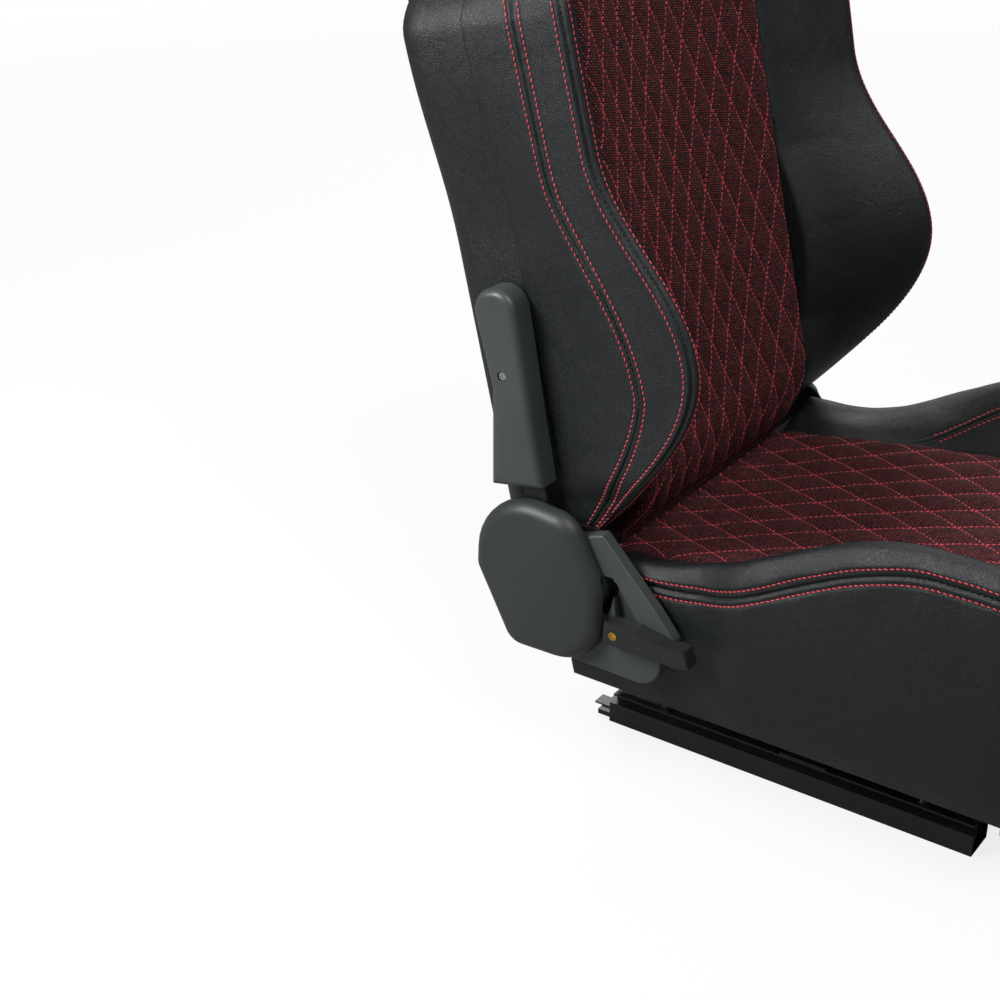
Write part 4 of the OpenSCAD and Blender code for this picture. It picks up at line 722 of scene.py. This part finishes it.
# Across, the pad swells by the root of one less the fifth power: flat, with well rounded sides
crown = wing_rear + 6 + (np.maximum(wing_rear + 8, reach) - wing_rear - 6)[:, None] * (1 - np.abs(u) ** 5) ** 0.5
face = leaned(u * half[:, None], crown, s[:, None] + 0 * u)
behind = leaned(u * (half[:, None] - 1), wing_rear + 0 * crown, s[:, None] + 0 * u)
head_pad = closed_piece("head_pad_cover", filled(face, behind, (4, 4, 4, 4)))
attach(head_pad, "backrest")
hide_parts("head_pad")
leather_pieces.append(head_pad)

# -------------------------------------------------------- rear shell
# Moulded shell round the frame, trimmed in the leather of the wings. Its
# rear corners are well rounded and the belt openings go through its rear.
shell_low, shell_front, shell_rear, shell_corner, shell_wall, shell_round = 6, 13, 70, 36, 3, 46
belt_across, belt_up, belt_half, belt_rise, belt_corner = 104, 568, 36, 21, 10


def shell_rings(s, wall):
    """Lines of the shell's skin round its sides and rear, from one front edge to the other, at each height: two
    straight sides, two quarter rounds and a straight rear, all drawn in by the wall. The front edge tucks in
    under the wing."""
    half = side_half(s)[:, None] - wall
    fall = round_drop(s - back_top + shell_round - 2, shell_round)[:, None]
    rear, r = -shell_rear + wall + fall, np.minimum(shell_corner, shell_rear - fall) - wall
    a = np.radians(np.linspace(0, 90, 13))[None]
    side_t = np.linspace(0, 1, 7)[None, :-1]
    flat = np.linspace(0, 1, 13)[None, 1:-1]
    side = shell_front + 7 * (side_t == 0) + (rear + r - shell_front) * side_t
    x = np.concatenate([half - 0.9 * (side_t == 0), half - r + r * np.cos(a), (half - r) * (1 - flat)], 1)
    t = np.concatenate([side, rear + r - r * np.sin(a), rear + 0 * flat], 1)
    x, t = np.concatenate([x, 0 * half, -x[:, ::-1]], 1), np.concatenate([t, rear, t[:, ::-1]], 1)
    return leaned(x, t, s[:, None])


def cut(piece, *cutters):
    """Take the cutters out of a piece, keep the result as its mesh and shade edges of over 38 degrees as sharp."""
    for cutter in cutters:
        tool = piece.modifiers.new("cut", "BOOLEAN")
        tool.solver, tool.object = "EXACT", cutter
    made = bpy.data.meshes.new_from_object(piece.evaluated_get(bpy.context.evaluated_depsgraph_get()))
    made.name = piece.name
    made.validate()
    piece.modifiers.clear()
    piece.data = made
    for cutter in cutters:
        bpy.data.objects.remove(cutter)
    made.shade_smooth()
    made.set_sharp_from_angle(angle=radians(38))


def outline(corners, inward=0.0, arc=10, straight=5):
    """Closed outline through corners given as across, up and radius, each rounded by an arc, and drawn inwards: an
    offset moves a corner along its bisector, and takes its distance off the radius of an outer corner and adds it
    to that of an inner one."""
    corner = np.asarray(corners, float)
    p = corner[:, :2]
    u, v = unit(p - np.roll(p, 1, 0)), unit(np.roll(p, -1, 0) - p)
    side = np.sign(np.sum(p[:, 0] * np.roll(p[:, 1], -1) - np.roll(p[:, 0], -1) * p[:, 1]))
    left = lambda d: side * np.stack([-d[:, 1], d[:, 0]], 1)
    bend = side * (u[:, 0] * v[:, 1] - u[:, 1] * v[:, 0])
    q = p + (left(u) + left(v)) / (1 + np.sum(left(u) * left(v), 1, keepdims=True)) * inward
    r = np.maximum(0.4, corner[:, 2] - inward * np.sign(bend))
    half = np.arctan2(np.abs(bend), np.sum(u * v, 1)) / 2
    start = q - u * (r * np.tan(half))[:, None]
    n = left(u) * np.sign(bend)[:, None]
    a = 2 * half[:, None] * np.linspace(0, 1, arc + 1)[None]
    arcs = (start + n * r[:, None])[:, None] + r[:, None, None] * (
        np.sin(a)[..., None] * u[:, None] - np.cos(a)[..., None] * n[:, None])
    f = np.linspace(0, 1, straight + 1)[None, 1:-1, None]
    edges = arcs[:, -1:] * (1 - f) + np.roll(arcs[:, :1], -1, 0) * f
    return np.concatenate([arcs, edges], 1).reshape(-1, 2)


def prism(name, loop, near, far, place):
    """Straight prism on an outline, from the distance near to far."""
    rows = [(near, loop * 0 + loop.mean(0)), (near, loop), (far, loop), (far, loop * 0 + loop.mean(0))]
    sheet = np.stack([place(at, ring[:, 0], ring[:, 1]) for at, ring in rows])
    return closed_piece(name, [np.concatenate([sheet, sheet[:, :1]], 1)])


def belt_opening(flip, grow, near, far):
    """Cutter for a belt opening: the opening's rounded rectangle, grown, between two distances out of the back."""
    w, h = belt_half + grow, belt_rise + grow
    loop = outline([[x, z, belt_corner] for x, z in ((w, h), (-w, h), (-w, -h), (w, -h))])
    return prism("belt_opening", loop, near, far,
                 lambda at, a, b: leaned(flip * (belt_across + a), at, belt_up + b))


s = np.concatenate([np.linspace(shell_low, back_top - shell_round, 110),
                    back_top - shell_round + shell_round * np.sin(np.radians(np.linspace(6, 88, 16)))])
skin, lining = shell_rings(s, 0), shell_rings(np.minimum(s, back_top - shell_wall), shell_wall)
middle = skin.shape[1] // 2
lids = [between(rings[-1, :middle + 1], rings[-1, middle:][::-1], 10) for rings in (skin, lining)]
rear_shell = closed_piece("rear_shell_cover", [
    skin, lining[:, ::-1], *lids, between(skin[0], lining[0], 2), between(skin[:, 0], lining[:, 0], 2),
    between(skin[:, -1], lining[:, -1], 2), between(skin[-1, [0, -1]], lining[-1, [0, -1]], 2)])
cut(rear_shell, *(belt_opening(flip, 6, -shell_rear - 5, -shell_rear + 20) for flip in (-1, 1)))
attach(rear_shell, "backrest")
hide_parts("rear_shell")
leather_pieces.append(rear_shell)

# ---------------------------------------------------------- rear board
# Padded board on the rear of the shell, covered in leather, with the belt
# openings through it. Its edge is rounded and its face swells a little.
board_low, board_thick, board_crown, board_edge = 371, 10, 2.0, 4.5


def swelling(corners, edge, crown, near, far, place, rows=7):
    """Loops of a moulded or padded face: up from near, over an elliptic edge, and on to the middle with a slight
    crown. corners is the outline, edge the width of its rounding, far the top of the crown."""
    centre = np.asarray(corners, float)[:, :2].mean(0)
    rings = [(near, outline(corners))]
    for a in np.radians(np.linspace(0, 90, 8)):
        rings.append((far - crown - edge * (1 - np.sin(a)), outline(corners, edge * (1 - np.cos(a)))))
    for f in np.linspace(1, 0, rows)[1:]:
        rings.append((far - crown * f * f, centre + (outline(corners, edge) - centre) * f))
    sheet = np.stack([place(np.maximum(at, near), ring[:, 0], ring[:, 1]) for at, ring in rings])
    return np.concatenate([sheet, sheet[:, :1]], 1)


board_right = [[-217, board_low, 6], [-217, 582, 40], [-124, 638, 30], [-118, 698, 40]]
board = [[217, board_low, 6]] + board_right + [[-x, z, r] for x, z, r in board_right[:0:-1]]
board_face = swelling(board, board_edge, board_crown, shell_rear, shell_rear + board_thick,
                      lambda at, a, b: leaned(a, -at, b))
board_back = np.stack([board_face[0], board_face[0] * 0 + leaned(0, -shell_rear, 560)])
rear_board = closed_piece("rear_board_cover", [board_face, board_back])
cut(rear_board, *(belt_opening(flip, 11, -shell_rear - 20, -shell_rear + 10) for flip in (-1, 1)))
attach(rear_board, "backrest")
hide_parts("rear_board")
leather_pieces.append(rear_board)

# --------------------------------------------------------- hinge cover
# Cover of the recliner on the lever's side, moulded in grained plastic: a
# smooth dome over the hinge and a flat band in front of it, which has a
# slot for the lever and a recess behind the lever's arm.
dome_outline = [[82, 78, 66], [85, -12, 20], [43, -91, 24], [-61, -89, 52], [-62, 4, 48], [-27, 68, 32]]
band_outline = [[-14, 40, 3], [-14, -93, 10], [-124, -95, 26], [-124, -60, 6], [-139, -37, 6], [-116, -10, 40],
                [-54, 54, 4]]
recess_outline = [[-66, 17, 3], [-74, -40, 3], [-108, -40, 3]]
rim_x, dome_x, band_x, plate_x, lever_clear = 265.1, 286, 264.1, 250.4, 270.8
cover_wall, bore_r, slot_in, slot_out, slot_top, slot_low = 2.5, 48.5, 59, 70, 12, -38


def by_hinge(at, a, b):
    """Points on the lever's side, from the distance out of the seat and two distances from the recline axis."""
    return xyz(-at, axis_y + a, axis_z + b)


def over_lever(at, a, b):
    """Points by the hinge, raised where the lever's arm leaves the dome."""
    by_lever = (a < -38) & (b > -58) & (b < 12)
    return by_hinge(np.where(by_lever, np.maximum(at, lever_clear), at), a, b)


def hollow(corners, edge, crown, near, far, place, rows, shrink):
    """Outer and inner skin of a moulded cover with its rim between them. The inner one stands one wall lower and
    is drawn in towards the middle of its top by the shares shrink."""
    outer, inner = (swelling(corners, edge, crown, near, top, place, rows) for top in (far, far - cover_wall))
    inner = inner[-1, 0] + (inner - inner[-1, 0]) * np.array(shrink)
    return [outer, inner[:, ::-1], between(outer[0], inner[0], 1)]


def circle(r, step):
    """Points round a circle, a step of so many degrees apart."""
    turn = np.radians(np.arange(0, 360, step))
    return r * np.stack([np.cos(turn), np.sin(turn)], 1)


hinge_dome = closed_piece("hinge_cover_dome", hollow(dome_outline, 15, 3.0, rim_x, dome_x, over_lever, 12,
                                                     (1, 0.965, 0.965)))
band = swelling(band_outline, 2.5, 0.0, plate_x, band_x, by_hinge, 3)
band_back = np.stack([band[0], band[0] * 0 + by_hinge(plate_x, -70, -30)])
hinge_band = closed_piece("hinge_cover_band", [band, band_back])
z = np.linspace(slot_top, slot_low, 18)
outer_arc, inner_arc = (np.stack([-np.sqrt(r ** 2 - z ** 2), z], 1) for r in (slot_out, slot_in))
cut(hinge_band, prism("bore", circle(bore_r, 6), 240, 275, by_hinge),
    prism("slot", np.concatenate([outer_arc, inner_arc[::-1]]), 240, 275, by_hinge),
    prism("recess", outline(recess_outline), 255, 275, by_hinge))
plastic_pieces = [hinge_dome, hinge_band]
for piece in plastic_pieces:
    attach(piece, "carriage")
    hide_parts("hinge_cover")

# --------------------------------------------------------- arm covers
# Long plastic covers over the recliner arms, screwed to the arms. Their
# edges are rounded over towards the cushion and catch the light.
arm_top, arm_cover_x, arm_low_x = 286, 275, 247
arm_screw, arm_screw_seat = (8, 202), 5
arm_outline = [[29, arm_top, 22], [-21, arm_top, 22], [-14, 150, 12], [-12, 86.5, 3], [49, 91, 2], [25, 190, 30]]
for side, flip in (("right", -1), ("left", 1)):
    by_arm = lambda at, a, b: leaned(flip * at, -a, b)
    cover = closed_piece("arm_cover_moulding_" + side, hollow(
        arm_outline, 8, 0.6, arm_low_x, arm_cover_x, by_arm, 5, (1, 0.93, 0.97)))
    cut(cover, prism("screw_seat", arm_screw + circle(arm_screw_seat, 10), arm_cover_x - 4, arm_cover_x + 5,
                     by_arm))
    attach(cover, "backrest")
    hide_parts("arm_cover_" + side)
    plastic_pieces.append(cover)

# --------------------------------------------------------------- leather
# Synthetic leather: PVC on a knitted back, embossed with a fine grain and
# satin finished, which gives soft broad highlights. The valleys of the grain
# are darkened with painted shade.
def finish(name, sockets):
    """A new material with the shader's own sockets set, and its tree and shader."""
    made = bpy.data.materials.new(name)
    made.use_nodes = True
    shader = made.node_tree.nodes["Principled BSDF"]
    join(made.node_tree, shader, sockets)
    return made, made.node_tree, shader


leather, tree, shader = finish("grained_pvc_leather", {"IOR": 1.5, "Specular IOR Level": 0.5})
place = add(tree, "TexCoord").outputs["Object"]
# Grain cells are about 1 mm across; they are drawn 1.7 mm wide to show
grain = add(tree, "TexVoronoi", {"Vector": place, "Scale": 590, "Randomness": 0.95}, feature="DISTANCE_TO_EDGE")
pebble_relief_and_shade = add(tree, "MapRange", {"Value": grain, "From Min": 0.0, "From Max": 0.28})
pores = add(tree, "TexNoise", {"Vector": place, "Scale": 1400, "Detail": 2})
crease = add(tree, "TexNoise", {"Vector": place, "Scale": 22, "Detail": 5, "Roughness": 0.6, "Distortion": 0.8})
patch = add(tree, "TexNoise", {"Vector": place, "Scale": 7, "Detail": 3})
tops = add(tree, "Mix", {"Factor": patch, "A": srgb("#171c1d"), "B": srgb("#1f2526")}, data_type="RGBA")
# Painted shade: the colour falls to near black towards the edges of the grain cells, in the valleys between them
tone = add(tree, "Mix", {"Factor": pebble_relief_and_shade, "A": srgb("#0d0f10"), "B": tops.outputs["Result"]}, data_type="RGBA")
gloss = add(tree, "MapRange", {"Value": crease, "From Min": 0.3, "From Max": 0.7, "To Min": 0.38, "To Max": 0.52})
# Slight creases of the fitted cover, the embossed grain on them, and the pores in the grain
skin = None
for height, strength, distance in ((crease, 0.35, 0.004), (pebble_relief_and_shade, 0.5, 0.00035), (pores, 0.25, 0.0002)):
    below = {"Normal": skin} if skin else {}
    skin = add(tree, "Bump", {"Height": height, "Strength": strength, "Distance": distance, **below})
join(tree, shader, {"Base Color": tone.outputs["Result"], "Roughness": gloss, "Normal": skin})
for piece in leather_pieces:
    piece.data.materials.append(leather)

# ---------------------------------------------------------------- fabric
# Polyester twill, near black with a warm cast. A red yarn floats over it
# in short dashes about 3 mm apart, in rows 2.4 mm apart, seen as flecks.
fabric, tree, shader = finish("flecked_twill", {"IOR": 1.45, "Roughness": 0.9, "Sheen Weight": 0.03,
                                                "Sheen Roughness": 0.45, "Sheen Tint": srgb("#d8b4b6")})
cloth = add(tree, "UVMap", uv_map="cloth")
# Threads wander by up to 0.3 mm from their straight rows
drift = add(tree, "TexNoise", {"Vector": cloth, "Scale": 160, "Detail": 2})
moved = add(tree, "VectorMath", {0: drift.outputs["Color"], 1: (-0.5, -0.5, -0.5)}, operation="ADD")
small = add(tree, "VectorMath", {0: moved, "Scale": 0.0006}, operation="SCALE")
warped = add(tree, "VectorMath", {0: cloth, 1: small}, operation="ADD")
# From here on one unit of the pattern is one millimetre
slanted = add(tree, "Mapping", {"Vector": warped, "Rotation": (0, 0, radians(12)), "Scale": (1000, 1000, 1000)})
flecks = add(tree, "TexBrick", {
    "Vector": slanted, "Color1": srgb("#9a1c29"), "Color2": srgb("#d8606c"), "Mortar": srgb("#000000"), "Scale": 1.0,
    "Mortar Size": 0.84, "Mortar Smooth": 0.15, "Bias": -0.3, "Brick Width": 3.1, "Row Height": 2.35}, offset=0.5)
patchy = add(tree, "TexNoise", {"Vector": cloth, "Scale": 330, "Detail": 1})
present = add(tree, "MapRange", {"Value": patchy, "From Min": 0.34, "From Max": 0.44})
yarn = add(tree, "Math", {0: 1.0, 1: flecks.outputs["Fac"]}, operation="SUBTRACT")
dash = add(tree, "Math", {0: yarn, 1: present}, operation="MULTIPLY")
# Warp threads stand 0.8 mm apart and are drawn 1.2 mm apart to show
twill = add(tree, "TexWave", {"Vector": slanted, "Scale": 0.83 / 6.283, "Distortion": 0.6, "Detail": 1},
            bands_direction="DIAGONAL")
ground = add(tree, "Mix", {"Factor": twill.outputs["Fac"], "A": srgb("#0a0708"), "B": srgb("#171011")}, data_type="RGBA")
mixed = add(tree, "Mix", {"Factor": dash, "A": ground.outputs["Result"], "B": flecks.outputs["Color"]}, data_type="RGBA")
weave = add(tree, "Bump", {"Height": twill.outputs["Fac"], "Strength": 0.5, "Distance": 0.00035})
floats = add(tree, "Bump", {"Height": dash, "Strength": 0.5, "Distance": 0.0004, "Normal": weave})
join(tree, shader, {"Base Color": mixed.outputs["Result"], "Normal": floats})
for piece in (base_cushion, back_cushion):
    piece.data.materials.append(fabric)

# ---------------------------------------------------------------- thread
# Bonded polyester thread, red: two twisted plies with a slight shine that
# read as a row of bright dashes.
thread, tree, shader = finish("bonded_polyester_thread", {"IOR": 1.5, "Roughness": 0.45, "Sheen Weight": 0.15,
                                                          "Sheen Tint": srgb("#f0b0b4")})
place = add(tree, "TexCoord").outputs["Object"]
dye = add(tree, "TexNoise", {"Vector": place, "Scale": 180, "Detail": 2})
red = add(tree, "Mix", {"Factor": dye, "A": srgb("#c42a35"), "B": srgb("#e65a64")}, data_type="RGBA")
plies = add(tree, "TexWave", {"Vector": place, "Scale": 700, "Distortion": 1.5}, bands_direction="DIAGONAL")
twist = add(tree, "Bump", {"Height": plies.outputs["Fac"], "Strength": 0.4, "Distance": 0.0002})
join(tree, shader, {"Base Color": red.outputs["Result"], "Normal": twist})
for piece in threads:
    piece.data.materials.append(thread)
# Painted shade: the same thread in near black lies in the middles of the seams and stands for the shade in their stitch
# holes; only its low sheen tells it from the leather
seam_shade_thread = finish("dark_thread_painting_seam_shade", {
    "IOR": 1.5, "Roughness": 0.5, "Base Color": srgb("#0b0c0c")})[0]
for piece in seam_shade_threads:
    piece.data.materials.append(seam_shade_thread)

# ------------------------------------------------------------ plastics
# Covers are injection moulded in charcoal polypropylene: the dome has a
# fine spark texture and looks matt; the band and the arm covers are a
# little smoother, and get a lighter copy of the plastic as a painted
# highlight for the sheen they catch; the trims and the grip are darker.
def speckled(name, surface, dark, light, scale, depth, rough):
    """Material of a sprayed or moulded finish: two near tones in patches about 70 mm wide, and a fine texture of
    scale spots to the metre, depth metres deep."""
    made, tree, shader = finish(name, surface)
    place = add(tree, "TexCoord").outputs["Object"]
    patch = add(tree, "TexNoise", {"Vector": place, "Scale": 14, "Detail": 4})
    tone = add(tree, "Mix", {"Factor": patch, "A": srgb(dark), "B": srgb(light)}, data_type="RGBA")
    spark = add(tree, "TexNoise", {"Vector": place, "Scale": scale, "Detail": 3})
    gloss = add(tree, "MapRange", {"Value": patch, "To Min": rough - 0.05, "To Max": rough + 0.05})
    skin = add(tree, "Bump", {"Height": spark, "Strength": 0.4, "Distance": depth})
    join(tree, shader, {"Base Color": tone.outputs["Result"], "Roughness": gloss, "Normal": skin})
    return made


cover_plastic = speckled("spark_textured_polypropylene", {"IOR": 1.49}, "#2c2f30", "#363a3b", 900, 0.00030, 0.44)
# Painted highlight: a lighter copy of the polypropylene, standing for the sheen on the band and the arm covers
sheen_painted_plastic = speckled("polypropylene_lightened_for_painted_sheen", {"IOR": 1.49}, "#3c4142", "#484d4e", 1000, 0.00018, 0.38)
trim_plastic = speckled("black_moulded_polypropylene", {"IOR": 1.49}, "#1b1c1d", "#232526", 1100, 0.00015, 0.40)
# The dome keeps the darker plastic; the band and the arm covers take the painted highlight
for piece in plastic_pieces:
    piece.data.materials.clear()
    piece.data.materials.append(cover_plastic if piece is hinge_dome else sheen_painted_plastic)

# -------------------------------------------------------------- metals
# Rails and frame are pressed steel, electro-coated or powder coated black;
# hinge parts, springs and screws are zinc plated; one screw is brass.
rail_coat = speckled("black_electro_coat_on_steel", {"IOR": 1.5}, "#17181a", "#1f2123", 700, 0.00006, 0.34)
powder_coat = speckled("black_powder_coat_on_steel", {"IOR": 1.5}, "#131415", "#1c1d1e", 420, 0.00018, 0.42)
zinc_plate = speckled("bright_zinc_plate", {"Metallic": 1.0}, "#a9adb0", "#c6cacd", 500, 0.00004, 0.30)
brass = speckled("turned_brass", {"Metallic": 1.0}, "#b8923f", "#d1ad58", 500, 0.00004, 0.26)
coats = {"rail_black": rail_coat, "frame_black": powder_coat, "zinc": zinc_plate, "brass": brass,
         "plastic": trim_plastic}
for row in frame["record"]["subparts"]:
    for held in nodes[row["node"]].material_slots:
        if row["material_slot"] in coats:
            held.link = "OBJECT"
            held.material = coats[row["material_slot"]]
# The trims of the belt openings come out of the mould with small rounds on their edges
for name in ("front_right", "front_left", "rear_right", "rear_left"):
    soft = nodes["harness_bezel_" + name].modifiers.new("soft_edges", "BEVEL")
    soft.width, soft.segments, soft.limit_method, soft.angle_limit = 0.0009, 3, "ANGLE", radians(50)

size = {"cad": cad_box, "visual": [list(corner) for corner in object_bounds()]}
